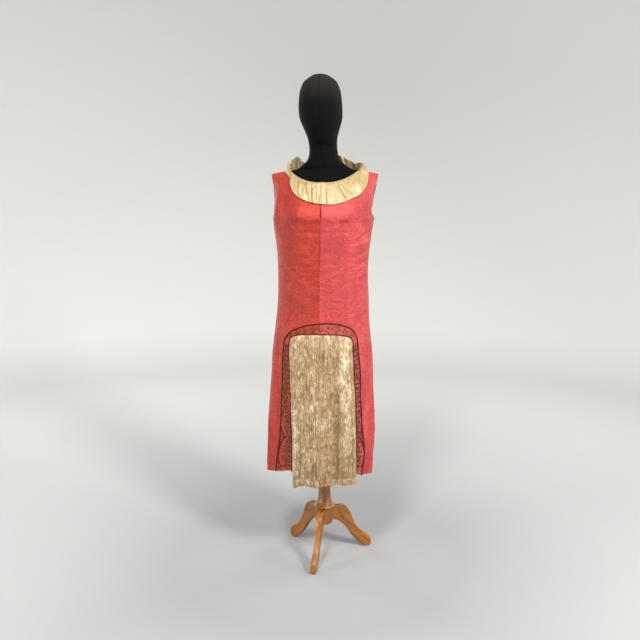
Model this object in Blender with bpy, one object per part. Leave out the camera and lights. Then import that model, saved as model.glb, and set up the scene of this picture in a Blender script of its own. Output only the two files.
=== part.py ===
# Sleeveless evening dress on a limbless dress form with a turned wooden tripod stand.
# Metres, +Z up. The front faces -Y, and +X is on the right of someone who looks at the front.

import math

import bmesh
import bpy
import numpy as np
from mathutils import Matrix, Vector

MM = 0.001

# The shapes are worked out about the form's own axis, and the part's origin is the middle of the
# floor area that the whole part covers
ORIGIN_FROM_AXIS = (-0.008, -0.024)

# Cloth
CORAL_WALL = 1.5 * MM
LAME_WALL = 1.2 * MM
SEAM_GAP = 0.3 * MM
REST_GAP = 0.3 * MM

# Dress body, a stack of superellipse sections from the hem to the underarm
SQUARENESS = 2.2
UNDERARM_HEIGHT = 1.280
HEM_SIDE_HEIGHT = 0.338
HEM_FRONT_RISE = 0.051
HEM_BACK_RISE = 0.010
BODY_COLUMNS = ("height", "half_width", "front", "back")
BODY_SECTIONS = (
    (0.300, 0.1965, 0.150, 0.137),
    (0.420, 0.1970, 0.150, 0.137),
    (0.500, 0.1985, 0.148, 0.136),
    (0.650, 0.1915, 0.145, 0.134),
    (0.800, 0.1822, 0.139, 0.131),
    (0.900, 0.1705, 0.132, 0.126),
    (1.000, 0.1645, 0.126, 0.116),
    (1.120, 0.1622, 0.127, 0.109),
    (1.200, 0.1686, 0.132, 0.109),
    (1.280, 0.1800, 0.134, 0.110),
)

# The stand and the dress don't hang quite plumb: sideways shift of each height
LEAN_COLUMNS = ("height", "sideways")
LEAN_SECTIONS = (
    (0.300, -0.0155),
    (0.500, -0.0055),
    (0.700, -0.001),
    (0.900, 0.001),
    (0.980, 0.003),
    (1.100, 0.002),
    (1.280, 0.004),
    (1.430, 0.008),
    (1.515, 0.003),
    (1.650, -0.007),
    (1.770, -0.008),
)

# Soft folds that open towards the hem. Turn is measured from the front centre towards +X
FOLD_COLUMNS = ("turn", "spread", "depth", "top")
SKIRT_FOLDS = (
    (-97.0, 9.0, 5.0, 1.00),
    (-80.0, 7.0, -4.0, 0.95),
    (-66.0, 6.0, 5.0, 0.80),
    (-54.0, 6.0, -4.0, 0.72),
    (52.0, 7.0, 4.0, 0.75),
    (66.0, 6.0, -6.0, 0.85),
    (80.0, 7.0, 6.0, 0.92),
    (98.0, 8.0, -5.0, 0.95),
    (118.0, 10.0, 6.0, 0.90),
    (141.0, 10.0, -6.0, 0.88),
    (163.0, 11.0, 7.0, 0.95),
    (-172.0, 10.0, -7.0, 0.92),
    (-149.0, 10.0, 6.0, 0.90),
    (-124.0, 10.0, -6.0, 0.86),
)

# Shoulders and armholes. Turn goes over the shoulder, 0 at the underarm and 90 at the seam
SHOULDER_SEAM_Y = 0.012
SHOULDER_TIP_HEIGHT = 1.433
SHOULDER_TIP_X = 0.190
SHOULDER_SLOPE = 0.20
ARMHOLE_COLUMNS = ("turn", "edge", "section")
ARMHOLE_SECTIONS = (
    (0.0, 0.1800, 0.1800),
    (4.0, 0.1715, 0.1806),
    (10.0, 0.1680, 0.1820),
    (22.0, 0.1705, 0.1850),
    (38.0, 0.1760, 0.1890),
    (60.0, 0.1850, 0.1950),
    (90.0, 0.1900, 0.2020),
)

# Neckline, an ellipse in plan about the shoulder seam
NECK_HALF_WIDTH = 0.122
NECK_FRONT = 0.112
NECK_BACK = 0.065

# Arched opening for the pleated panel, open down to the hem
ARCH_SPRING = 0.841
ARCH_RISE = 0.038
ARCH_POWER = 3.2
OPENING_COLUMNS = ("height", "half_width", "sideways")
OPENING_SECTIONS = (
    (0.300, 0.1150, 0.034),
    (0.500, 0.1145, 0.022),
    (0.650, 0.1135, 0.014),
    (0.841, 0.1115, 0.004),
    (0.900, 0.1115, 0.004),
)

# Pleated panel
PANEL_HEM_HEIGHT = 0.325
PANEL_HEM_SIDE_DROP = 0.010
PANEL_PLEATS = 20
PANEL_PLEAT_DEPTH = 1.3 * MM
PANEL_BELLY = 6.0 * MM
PANEL_EDGE_SHARE = 0.06
PANEL_TOP_EASE = 0.05
PANEL_FOLD_COLUMNS = ("across", "spread", "depth", "top")
PANEL_FOLDS = (
    (-0.62, 0.10, -2.5, 0.80),
    (-0.36, 0.10, 3.0, 0.86),
    (-0.10, 0.12, -2.0, 0.74),
    (0.20, 0.10, 2.5, 0.86),
    (0.50, 0.055, -5.0, 0.70),
    (0.66, 0.12, 2.5, 0.86),
)

# Collar band. Stand is 0 where it lies on the dress and 1 where it stands up from the neckline. The
# rim is measured from the dress's own centre, and rise is the height of the roll between the two
COLLAR_COLUMNS = ("turn", "stand", "rim_x", "rim_y", "rim_height", "rise")
COLLAR_SECTIONS = (
    (-180.0, 1.0, 0.000, 0.086, 1.490, 0.000),
    (-164.0, 1.0, -0.042, 0.084, 1.481, 0.002),
    (-148.0, 1.0, -0.075, 0.077, 1.472, 0.004),
    (-125.0, 1.0, -0.103, 0.054, 1.492, 0.000),
    (-101.0, 1.0, -0.126, 0.014, 1.467, 0.010),
    (-85.0, 0.8, -0.133, -0.024, 1.438, 0.016),
    (-72.0, 0.1, -0.115, -0.066, 1.414, 0.006),
    (-62.0, 0.0, -0.110, -0.084, 1.390, 0.000),
    (-50.0, 0.0, -0.096, -0.098, 1.367, 0.000),
    (-25.0, 0.0, -0.050, -0.122, 1.340, 0.000),
    (0.0, 0.0, 0.000, -0.128, 1.330, 0.000),
    (28.0, 0.0, 0.060, -0.120, 1.332, 0.000),
    (43.0, 0.0, 0.094, -0.104, 1.345, 0.000),
    (60.0, 0.0, 0.132, -0.080, 1.367, 0.002),
    (75.0, 0.3, 0.152, -0.054, 1.406, 0.010),
    (89.0, 0.9, 0.148, -0.020, 1.445, 0.018),
    (106.0, 1.0, 0.124, 0.018, 1.467, 0.012),
    (122.0, 1.0, 0.099, 0.044, 1.474, 0.006),
    (155.0, 1.0, 0.046, 0.076, 1.498, 0.000),
    (180.0, 1.0, 0.000, 0.086, 1.490, 0.000),
)
COLLAR_PLEATS = 22
COLLAR_PLEAT_BASE = 0.5 * MM
COLLAR_PLEAT_RIM = 2.6 * MM

# Dress form. Share is how far the flat arm plate lies out on its section
FORM_COLUMNS = ("height", "half_width", "front", "back", "share")
FORM_SECTIONS = (
    (0.800, 0.140, 0.096, 0.102, 0.99),
    (0.860, 0.147, 0.103, 0.109, 0.99),
    (0.950, 0.140, 0.099, 0.103, 0.99),
    (1.050, 0.119, 0.088, 0.087, 0.99),
    (1.120, 0.121, 0.092, 0.087, 0.99),
    (1.200, 0.141, 0.110, 0.094, 0.98),
    (1.280, 0.176, 0.122, 0.094, 0.91),
)
FORM_LOWER_LEVELS = (0.800, 0.830, 0.880, 0.940, 1.000, 1.060, 1.120, 1.170, 1.220, 1.260)
FORM_SHOULDER_LEVELS = (1.280, 1.310, 1.340, 1.370, 1.395, 1.413, 1.425, 1.4325, 1.438, 1.443)
FORM_PLATE_COLUMNS = ("height", "half_width")
FORM_PLATE_SECTIONS = (
    (1.280, 0.1602),
    (1.310, 0.1680),
    (1.350, 0.1735),
    (1.400, 0.1820),
    (1.450, 0.1870),
)
FORM_INSET = 4.0 * MM
FORM_RIDGE_SHARE = 0.985
FORM_RIDGE_NARROWING = 0.20
NECK_COLUMNS = ("height", "half_width", "front", "back", "squareness")
NECK_SECTIONS = (
    (1.4490, 0.0980, 0.0440, 0.0400, 1.3),
    (1.4570, 0.0850, 0.0465, 0.0530, 1.6),
    (1.4680, 0.0705, 0.0480, 0.0560, 1.9),
    (1.4820, 0.0580, 0.0485, 0.0560, 2.0),
    (1.5000, 0.0510, 0.0490, 0.0550, 2.0),
    (1.5268, 0.0491, 0.0510, 0.0550, 2.0),
)
JAW_SEAM_HEIGHT = 1.527
HEAD_COLUMNS = ("height", "half_width", "front", "back")
HEAD_SECTIONS = (
    (1.527, 0.0491, 0.052, 0.055),
    (1.549, 0.0508, 0.064, 0.058),
    (1.583, 0.0611, 0.080, 0.071),
    (1.617, 0.0732, 0.089, 0.086),
    (1.651, 0.0765, 0.092, 0.094),
    (1.684, 0.0745, 0.089, 0.095),
    (1.718, 0.0692, 0.080, 0.087),
    (1.751, 0.0500, 0.057, 0.062),
    (1.765, 0.0290, 0.034, 0.036),
)
HEAD_TOP_HEIGHT = 1.771

# Turned column with its hub, and three legs
COLUMN_X = 0.008
COLUMN_SIDES = 28
# Radius and height of each edge of the turned column
COLUMN_PROFILE = (
    (0.0120, 0.1150),
    (0.0240, 0.1185),
    (0.0320, 0.1270),
    (0.0350, 0.1400),
    (0.0350, 0.1850),
    (0.0380, 0.1880),
    (0.0400, 0.1910),
    (0.0375, 0.1945),
    (0.0330, 0.2000),
    (0.0275, 0.2080),
    (0.0240, 0.2200),
    (0.0225, 0.2350),
)
LEG_TURNS = (-8.5, 111.5, 228.5)
LEG_NAMES = ("leg_front", "leg_right", "leg_left")
LEG_THICKNESS = 0.020
LEG_EDGE_ROUND = 3.0 * MM
LEG_OUTLINE_COLUMNS = ("reach", "height")
LEG_TOP = (
    (0.030, 0.1835),
    (0.052, 0.1840),
    (0.072, 0.1830),
    (0.088, 0.1740),
    (0.101, 0.1530),
    (0.112, 0.1240),
    (0.125, 0.0950),
    (0.145, 0.0690),
    (0.170, 0.0500),
    (0.184, 0.0370),
    (0.1895, 0.0200),
    (0.187, 0.0060),
)
LEG_UNDER = (
    (0.184, 0.0000),
    (0.162, 0.0000),
    (0.148, 0.0130),
    (0.126, 0.0330),
    (0.104, 0.0610),
    (0.087, 0.0880),
    (0.068, 0.1090),
    (0.048, 0.1240),
    (0.030, 0.1310),
)

# Mesh density of the cloth
UPPER_ROWS = 8
MIDDLE_ROWS = 8
LOWER_ROWS = 7
INNER_STEPS = 7
OUTER_STEPS = 7
UPPER_ROW_CROWDING = 0.11
PANEL_ROWS = 10
PANEL_STEPS_PER_PLEAT = 4
COLLAR_STEPS_PER_PLEAT = 4
COLLAR_ROWS = 6
FORM_QUARTER_STEPS = 7
HEAD_LEVELS = 11

COLOURS = {
    "coral_silk": ((0.84, 0.30, 0.28), 0.45, 0.0),
    "gold_lame": ((0.74, 0.63, 0.44), 0.38, 0.35),
    "cream_lame": ((0.93, 0.86, 0.68), 0.42, 0.20),
    "black_jersey": ((0.05, 0.05, 0.055), 0.85, 0.0),
    "waxed_wood": ((0.69, 0.40, 0.13), 0.38, 0.0),
}


def named(columns, rows):
    """The table as one array for each named column."""
    return dict(zip(columns, np.array(rows, float).T))


def smooth(table, key, column, at):
    """The column's value at each key, on a smooth curve through the rows."""
    x = table[key]
    y = table[column]
    slope = np.gradient(y, x)
    at = np.clip(at, x[0], x[-1])
    i = np.clip(np.searchsorted(x, at) - 1, 0, len(x) - 2)
    span = x[i + 1] - x[i]
    t = (at - x[i]) / span
    rise = (3 - 2 * t) * t * t
    lead = t * (1 - t) ** 2 * span * slope[i]
    trail = t * t * (t - 1) * span * slope[i + 1]
    return y[i] + (y[i + 1] - y[i]) * rise + lead + trail


def signed_power(value, power):
    return np.sign(value) * np.abs(value) ** power


def ramp(value):
    """0 below 0 and 1 above 1, soft at both ends."""
    value = np.clip(value, 0, 1)
    return value * value * (3 - 2 * value)


BODY = named(BODY_COLUMNS, BODY_SECTIONS)
LEAN = named(LEAN_COLUMNS, LEAN_SECTIONS)
FOLDS = named(FOLD_COLUMNS, SKIRT_FOLDS)
ARMHOLE = named(ARMHOLE_COLUMNS, ARMHOLE_SECTIONS)
OPENING = named(OPENING_COLUMNS, OPENING_SECTIONS)
PANEL = named(PANEL_FOLD_COLUMNS, PANEL_FOLDS)
COLLAR = named(COLLAR_COLUMNS, COLLAR_SECTIONS)
FORM = named(FORM_COLUMNS, FORM_SECTIONS)
PLATE = named(FORM_PLATE_COLUMNS, FORM_PLATE_SECTIONS)
NECK = named(NECK_COLUMNS, NECK_SECTIONS)
HEAD = named(HEAD_COLUMNS, HEAD_SECTIONS)


def lean(height):
    return smooth(LEAN, "height", "sideways", height)


def turn_of(share):
    return np.arcsin(np.clip(share, 0, 1) ** (SQUARENESS / 2))


def section_depth(share):
    return np.clip(1 - share**SQUARENESS, 0, 1) ** (1 / SQUARENESS)


def hem_height(turn):
    rise = np.where(np.cos(turn) > 0, HEM_FRONT_RISE, HEM_BACK_RISE)
    return HEM_SIDE_HEIGHT + rise * np.cos(turn) ** 2


def skirt_fold(turn, height):
    """How far the folds push the cloth out at this turn and height."""
    push = np.zeros(np.shape(turn))
    for at, spread, depth, top in zip(*(FOLDS[c] for c in FOLD_COLUMNS)):
        away = (np.degrees(turn) - at + 180) % 360 - 180
        opened = ramp((top - height) / (top - HEM_SIDE_HEIGHT))
        push = push + depth * MM * opened * np.exp(-((away / spread) ** 2))
    return push


def body_point(turn, height):
    """A point of the dress below the underarm."""
    half_width = smooth(BODY, "height", "half_width", height)
    front = smooth(BODY, "height", "front", height)
    back = smooth(BODY, "height", "back", height)
    depth = np.where(np.cos(turn) > 0, front, back)
    push = skirt_fold(turn, height)
    x = (half_width + push) * signed_power(np.sin(turn), 2 / SQUARENESS)
    y = -(depth + push) * signed_power(np.cos(turn), 2 / SQUARENESS)
    return np.stack([x + lean(height), y, height], axis=-1)


def ridge_height(x):
    """Height of the shoulder seam at this distance from the centre."""
    return SHOULDER_TIP_HEIGHT + SHOULDER_SLOPE * (SHOULDER_TIP_X - np.abs(x))


def shoulder_point(turn, over):
    """A point of the dress above the underarm, over is the turn over the shoulder."""
    degrees = np.degrees(np.clip(over, 0, math.pi / 2))
    edge = smooth(ARMHOLE, "turn", "edge", degrees)
    section = smooth(ARMHOLE, "turn", "section", degrees)
    x = edge * signed_power(np.sin(turn), 2 / SQUARENESS)
    facing_front = np.cos(turn) > 0
    front = BODY["front"][-1] * section_depth(np.abs(x) / section)
    back = BODY["back"][-1] * section_depth(np.abs(x) / section)
    reach = np.where(facing_front, -front - SHOULDER_SEAM_Y, back - SHOULDER_SEAM_Y)
    y = SHOULDER_SEAM_Y + reach * np.cos(over)
    z = UNDERARM_HEIGHT + (ridge_height(x) - UNDERARM_HEIGHT) * np.sin(over)
    return np.stack([x + lean(z), y, z], axis=-1)


def dress_point(turn, level):
    """Level is metres below the underarm where it is negative, and radians over the shoulder above."""
    turn, level = np.broadcast_arrays(turn, level)
    low = body_point(turn, UNDERARM_HEIGHT + np.minimum(level, 0))
    high = shoulder_point(turn, np.maximum(level, 0))
    return np.where((level < 0)[..., None], low, high)


def outward(surface, u, v, u_range, v_range):
    """Unit normals of surface(u, v), from small steps that stay in the piece's own range."""
    step = 0.004
    along_u = surface(np.clip(u + step, *u_range), v) - surface(np.clip(u - step, *u_range), v)
    along_v = surface(u, np.clip(v + step, *v_range)) - surface(u, np.clip(v - step, *v_range))
    normal = np.cross(along_u, along_v)
    return normal / np.linalg.norm(normal, axis=-1, keepdims=True)


def material(name):
    found = bpy.data.materials.get(name)
    if found:
        return found
    colour, roughness, metallic = COLOURS[name]
    made = bpy.data.materials.new(name)
    made.use_nodes = True
    shader = made.node_tree.nodes["Principled BSDF"]
    shader.inputs["Base Color"].default_value = (*(c**2.2 for c in colour), 1)
    shader.inputs["Roughness"].default_value = roughness
    shader.inputs["Metallic"].default_value = metallic
    return made


def part_from(name, mesh, slot, sharp_degrees=40):
    mesh.shade_smooth()
    mesh.set_sharp_from_angle(angle=math.radians(sharp_degrees))
    obj = bpy.data.objects.new(name, mesh)
    obj.data.materials.append(material(slot))
    bpy.context.scene.collection.objects.link(obj)
    return obj


def cloth_wall(name, outer, inner, cells, slot, closed=False):
    """A closed wall between two grids of points, with a rim along each open edge."""
    rows, columns = outer.shape[:2]
    faces = []
    for i, j in zip(*np.nonzero(cells)):
        k = (j + 1) % columns if closed else j + 1
        faces.append((i * columns + j, i * columns + k, (i + 1) * columns + k, (i + 1) * columns + j))
    ends = {(face[n], face[(n + 1) % 4]) for face in faces for n in range(4)}
    rim = [edge for edge in ends if edge[::-1] not in ends]
    under = rows * columns
    all_faces = list(faces)
    all_faces += [tuple(under + p for p in face[::-1]) for face in faces]
    all_faces += [(b, a, under + a, under + b) for a, b in sorted(rim)]
    points = np.concatenate([outer.reshape(-1, 3), inner.reshape(-1, 3)])
    mesh = bpy.data.meshes.new(name)
    mesh.from_pydata([tuple(p) for p in points], [], all_faces)
    shell = bmesh.new()
    shell.from_mesh(mesh)
    loose = [v for v in shell.verts if not v.link_faces]
    bmesh.ops.delete(shell, geom=loose, context="VERTS")
    bmesh.ops.recalc_face_normals(shell, faces=shell.faces)
    shell.to_mesh(mesh)
    shell.free()
    return part_from(name, mesh, slot)


def neckline_top(turn):
    """How far over the shoulder the cloth runs at this turn: to the neckline, or to the seam."""
    low = np.zeros(np.shape(turn))
    high = np.full(np.shape(turn), math.pi / 2)
    depth = np.where(np.cos(turn) > 0, NECK_FRONT, NECK_BACK)
    for _ in range(40):
        middle = (low + high) / 2
        point = shoulder_point(turn, middle)
        x = point[..., 0] - lean(point[..., 2])
        y = point[..., 1] - SHOULDER_SEAM_Y
        outside = (x / NECK_HALF_WIDTH) ** 2 + (y / depth) ** 2 > 1
        low = np.where(outside, middle, low)
        high = np.where(outside, high, middle)
    return low


def cloth_top(turn):
    """The top of each column of a panel, half a seam short of the shoulder seam."""
    top = neckline_top(turn)
    seam = shoulder_point(turn, np.full(np.shape(turn), math.pi / 2))
    foot = shoulder_point(turn, np.zeros(np.shape(turn)))
    reach = np.maximum(np.abs(foot[..., 1] - seam[..., 1]), 0.02)
    return np.minimum(top, math.pi / 2 - SEAM_GAP / 2 / reach)


def border_share(height, side):
    """Where the column that runs from the neck point to the opening's edge lies, as a share."""
    half_width = smooth(BODY, "height", "half_width", height)
    sideways = smooth(OPENING, "height", "sideways", height)
    opened = (smooth(OPENING, "height", "half_width", height) + side * sideways) / half_width
    neck = NECK_HALF_WIDTH / SHOULDER_TIP_X
    blend = np.clip((height - ARCH_SPRING) / (UNDERARM_HEIGHT - ARCH_SPRING), 0, 1)
    return opened + (neck - opened) * blend


def upper_rows():
    """Shares of the way up from the underarm to the shoulder, closer together at both ends."""
    even = np.linspace(1, 0, UPPER_ROWS + 1)
    return even - UPPER_ROW_CROWDING * np.sin(2 * math.pi * even)


def arch_height(share):
    """Height of the opening's top edge at this share of its half width."""
    return ARCH_SPRING + ARCH_RISE * np.clip(1 - share**ARCH_POWER, 0, 1) ** (1 / ARCH_POWER)


ARCH_STEPS = np.sin(np.linspace(0, math.pi / 2, INNER_STEPS + 1)) ** (2 / ARCH_POWER)


def front_half(name, side):
    """One front: it runs over the shoulder, and round the arched opening down to the hem."""
    rows = UPPER_ROWS + MIDDLE_ROWS + LOWER_ROWS + 1
    columns = INNER_STEPS + OUTER_STEPS + 1
    turn = np.zeros((rows, columns))
    level = np.zeros((rows, columns))
    neck = NECK_HALF_WIDTH / SHOULDER_TIP_X
    centre_turn = turn_of(np.array(SEAM_GAP / 2 / BODY["half_width"][-1]))
    side_turn = math.acos((SEAM_GAP / 2 / BODY["front"][-1]) ** (SQUARENESS / 2))
    arch = arch_height(ARCH_STEPS)
    for j in range(columns):
        inner = j <= INNER_STEPS
        outer_share = (j - INNER_STEPS) / OUTER_STEPS

        def turn_at(height):
            border = border_share(height, side)
            if inner:
                return np.maximum(turn_of(ARCH_STEPS[j] * border), centre_turn)
            start = turn_of(border)
            return start + (side_turn - start) * outer_share

        top_turn = float(turn_at(np.array(UNDERARM_HEIGHT)))
        top = float(cloth_top(np.array(top_turn)))
        turn[: UPPER_ROWS + 1, j] = top_turn
        level[: UPPER_ROWS + 1, j] = top * upper_rows()
        bottom = arch[j] if inner else ARCH_SPRING
        for i in range(1, MIDDLE_ROWS + 1):
            height = UNDERARM_HEIGHT + (bottom - UNDERARM_HEIGHT) * i / MIDDLE_ROWS
            turn[UPPER_ROWS + i, j] = turn_at(np.array(height))
            level[UPPER_ROWS + i, j] = height - UNDERARM_HEIGHT
        for i in range(1, LOWER_ROWS + 1):
            hem = hem_height(turn_at(np.array(HEM_SIDE_HEIGHT)))
            height = ARCH_SPRING + (hem - ARCH_SPRING) * i / LOWER_ROWS
            turn[UPPER_ROWS + MIDDLE_ROWS + i, j] = turn_at(np.array(height))
            level[UPPER_ROWS + MIDDLE_ROWS + i, j] = height - UNDERARM_HEIGHT
    cells = np.ones((rows - 1, columns - 1), bool)
    cells[UPPER_ROWS + MIDDLE_ROWS :, :INNER_STEPS] = False
    turn_range = (0, math.pi / 2) if side > 0 else (-math.pi / 2, 0)
    level_range = (-UNDERARM_HEIGHT, math.pi / 2)
    outer = dress_point(side * turn, level)
    normal = outward(dress_point, side * turn, level, turn_range, level_range)
    return cloth_wall(name, outer, outer - CORAL_WALL * normal, cells, "coral_silk")


def dress_back():
    """The whole back, from one side seam to the other."""
    neck_turn = float(turn_of(np.array(NECK_HALF_WIDTH / SHOULDER_TIP_X)))
    side_turn = math.acos((SEAM_GAP / 2 / BODY["back"][-1]) ** (SQUARENESS / 2))
    to_neck = np.linspace(side_turn, neck_turn, OUTER_STEPS + 1)
    to_centre = np.linspace(neck_turn, 0, INNER_STEPS)[1:]
    half = np.concatenate([to_neck, to_centre])
    turns = np.concatenate([math.pi - half, math.pi + half[-2::-1]])
    top = cloth_top(turns)
    lower_rows = MIDDLE_ROWS + LOWER_ROWS
    hem = hem_height(turns) - UNDERARM_HEIGHT
    upper = upper_rows()[:, None] * top
    lower = np.linspace(0, 1, lower_rows + 1)[1:, None] * hem
    level = np.concatenate([upper, lower])
    turn = np.broadcast_to(turns, level.shape)
    cells = np.ones((level.shape[0] - 1, level.shape[1] - 1), bool)
    outer = dress_point(turn, level)
    turn_range = (math.pi / 2 + 0.0001, 3 * math.pi / 2 - 0.0001)
    normal = outward(dress_point, turn, level, turn_range, (-UNDERARM_HEIGHT, math.pi / 2))
    return cloth_wall("dress_back", outer, outer - CORAL_WALL * normal, cells, "coral_silk")


def panel_point(share, drop):
    """A point of the pleated panel: share runs from -1 to 1 across, drop from 0 to 1 down."""
    side = np.where(share < 0, -1.0, 1.0)
    reach = np.abs(share)
    edge_ease = 1 - SEAM_GAP / OPENING["half_width"][0]
    top = np.interp(reach, ARCH_STEPS, arch_height(ARCH_STEPS)) - SEAM_GAP
    hem = PANEL_HEM_HEIGHT - PANEL_HEM_SIDE_DROP * share**2
    height = top + (hem - top) * drop
    turn = side * turn_of(reach * edge_ease * border_share(height, side))
    base = body_point(turn, height)
    warped = share + 0.035 * np.sin(4.1 * share + 0.7) + 0.018 * np.sin(11.3 * share + 2.0)
    depth = PANEL_PLEAT_DEPTH * (0.8 + 0.3 * np.sin(7.0 * share + 1.0))
    push = depth * (1 + np.cos(math.pi * PANEL_PLEATS * warped))
    for at, spread, fold_depth, fold_top in zip(*(PANEL[c] for c in PANEL_FOLD_COLUMNS)):
        opened = ramp((fold_top - height) / (fold_top - PANEL_HEM_HEIGHT))
        push = push + fold_depth * MM * opened * np.exp(-(((share - at) / spread) ** 2))
    fall = ramp((ARCH_SPRING + ARCH_RISE - height) / (ARCH_SPRING - PANEL_HEM_HEIGHT))
    push = push + PANEL_BELLY * (1 - share**2) * (0.4 + 0.6 * fall)
    seam_ease = ramp((1 - reach) / PANEL_EDGE_SHARE) * ramp((top - height) / PANEL_TOP_EASE)
    push = push * seam_ease
    facing = np.stack([0.35 * share, -np.ones(np.shape(share)), np.zeros(np.shape(share))], axis=-1)
    facing = facing / np.linalg.norm(facing, axis=-1, keepdims=True)
    return base + facing * push[..., None]


def lame_panel():
    columns = PANEL_PLEATS * PANEL_STEPS_PER_PLEAT
    share = np.linspace(-1, 1, columns + 1)[None, :]
    drop = (np.linspace(0, 1, PANEL_ROWS + 1) ** 1.25)[:, None]
    share, drop = np.broadcast_arrays(share, drop)
    outer = panel_point(share, drop)
    normal = outward(panel_point, share, drop, (-1, 1), (0, 1))
    normal = np.where(normal[..., 1:2] > 0, -normal, normal)
    cells = np.ones((PANEL_ROWS, columns), bool)
    return cloth_wall("lame_panel", outer, outer - LAME_WALL * normal, cells, "gold_lame")


def surface_y(x, z, front=True):
    """Depth of the dress over the shoulder at this place, x from the dress's own centre."""
    rise = np.clip((z - UNDERARM_HEIGHT) / (ridge_height(x) - UNDERARM_HEIGHT), 0, 1)
    over = np.degrees(np.arcsin(rise))
    share = np.abs(x) / smooth(ARMHOLE, "turn", "section", over)
    depth = BODY["front"][-1] if front else -BODY["back"][-1]
    return SHOULDER_SEAM_Y - (depth * section_depth(share) + SHOULDER_SEAM_Y) * np.sqrt(1 - rise**2)


def neckline_point(turn):
    """The neckline's edge at each turn round the neck, x from the dress's own centre."""
    facing_front = np.cos(turn) > 0
    x = NECK_HALF_WIDTH * np.sin(turn)
    reach = np.where(facing_front, NECK_FRONT, NECK_BACK) * np.abs(np.cos(turn))
    section = ARMHOLE["section"][-2]
    depth = np.where(facing_front, BODY["front"][-1] + SHOULDER_SEAM_Y, BODY["back"][-1] - SHOULDER_SEAM_Y)
    depth = depth * section_depth(np.abs(x) / section)
    lift = np.sqrt(np.clip(1 - (reach / depth) ** 2, 0, 1))
    z = UNDERARM_HEIGHT + (ridge_height(x) - UNDERARM_HEIGHT) * lift
    y = SHOULDER_SEAM_Y + np.where(facing_front, -reach, reach)
    return x, y, z


def collar_point(turn, out):
    """A point of the collar: turn runs round the neck, out from 0 at the neckline to 1 at the rim."""
    degrees = (np.degrees(turn) + 180) % 360 - 180
    stand = np.clip(smooth(COLLAR, "turn", "stand", degrees), 0, 1)[..., None]
    rim_x, rim_y, rim_z, rise = (smooth(COLLAR, "turn", c, degrees) for c in COLLAR_COLUMNS[2:])
    x, y, z = neckline_point(turn)
    pleat = COLLAR_PLEAT_BASE + (COLLAR_PLEAT_RIM - COLLAR_PLEAT_BASE) * out
    phase = COLLAR_PLEATS * turn + 1.1 * np.sin(2 * turn + 0.6) + 0.8 * np.sin(5 * turn)
    wave = pleat * (0.5 + 0.5 * np.cos(phase)) * (0.75 + 0.25 * np.sin(3 * turn + 1))
    clear = 2 * REST_GAP + LAME_WALL

    path = np.stack([rim_x - x, rim_y - y, rim_z - z], axis=-1)
    along = np.stack([np.cos(turn), np.sin(turn), np.zeros(np.shape(turn))], axis=-1)
    facing = np.cross(path, along)
    facing = facing / np.linalg.norm(facing, axis=-1, keepdims=True)
    standing = np.stack([x, y, z + clear + 4 * rise * out * (1 - out)], axis=-1)
    standing = standing + path * out[..., None] + facing * wave[..., None]

    lying_x = x + (rim_x - x) * out
    lying_z = z + (rim_z - z) * out
    lying_y = surface_y(lying_x, lying_z)
    step = 0.0005
    slope_x = surface_y(lying_x + step, lying_z) - surface_y(lying_x - step, lying_z)
    slope_z = surface_y(lying_x, lying_z + step) - surface_y(lying_x, lying_z - step)
    up = np.stack([slope_x, np.full(np.shape(slope_x), -2 * step), slope_z], axis=-1)
    up = up / np.linalg.norm(up, axis=-1, keepdims=True)
    lying = np.stack([lying_x, lying_y, lying_z], axis=-1) + up * (clear + wave)[..., None]

    point = lying * (1 - stand) + standing * stand
    point[..., 0] += lean(point[..., 2])
    return point


def collar():
    columns = COLLAR_PLEATS * COLLAR_STEPS_PER_PLEAT
    turn = np.linspace(-math.pi, math.pi, columns, endpoint=False)[None, :]
    out = np.linspace(0, 1, COLLAR_ROWS + 1)[:, None]
    turn, out = np.broadcast_arrays(turn, out)
    face = collar_point(turn, out)
    normal = outward(collar_point, turn, out, (-7, 7), (0, 1))
    if normal[0, columns // 2, 1] > 0:
        normal = -normal
    cells = np.ones((COLLAR_ROWS, columns), bool)
    return cloth_wall("collar", face, face - LAME_WALL * normal, cells, "cream_lame", closed=True)


def half_ring(x_values, front_y, back_y, height):
    """A closed ring of points from the values of its right half, front centre to back centre."""
    right = [(x, y) for x, y in zip(x_values, front_y)]
    right += [(x, y) for x, y in zip(x_values[::-1], back_y[::-1])]
    left = [(-x, y) for x, y in right[-2:0:-1]]
    return [(x + float(lean(np.array(height))), y, height) for x, y in right + left]


def plain_ring(half_width, front, back, share, squareness, height):
    """A superellipse ring, flattened at the sides by share."""
    steps = np.sin(np.linspace(0, math.pi / 2, FORM_QUARTER_STEPS + 1)) * share
    depth = (1 - steps**squareness) ** (1 / squareness)
    return half_ring(steps * half_width, -front * depth, back * depth, height)


def shoulder_ring(height):
    """A ring of the form where its shoulders carry the dress."""
    drop = CORAL_WALL * math.hypot(1, SHOULDER_SLOPE) + REST_GAP
    ridge = SHOULDER_TIP_X - (height + drop - SHOULDER_TIP_HEIGHT) / SHOULDER_SLOPE
    plate = float(smooth(PLATE, "height", "half_width", np.array(height)))
    half_width = min(plate, ridge * FORM_RIDGE_SHARE)
    x = np.sin(np.linspace(0, math.pi / 2, FORM_QUARTER_STEPS + 1)) * half_width
    rise = np.clip((height - UNDERARM_HEIGHT) / (ridge_height(x) - drop - UNDERARM_HEIGHT), 0, 1)
    over = np.degrees(np.arcsin(rise))
    section = smooth(ARMHOLE, "turn", "section", over) - FORM_INSET
    depth = section_depth(x / section)
    reach = np.sqrt(1 - rise**2) * (1 - FORM_RIDGE_NARROWING * rise**2)
    front = SHOULDER_SEAM_Y - (FORM["front"][-1] * depth + SHOULDER_SEAM_Y) * reach
    back = SHOULDER_SEAM_Y + (FORM["back"][-1] * depth - SHOULDER_SEAM_Y) * reach
    return half_ring(x, front, back, height)


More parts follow.
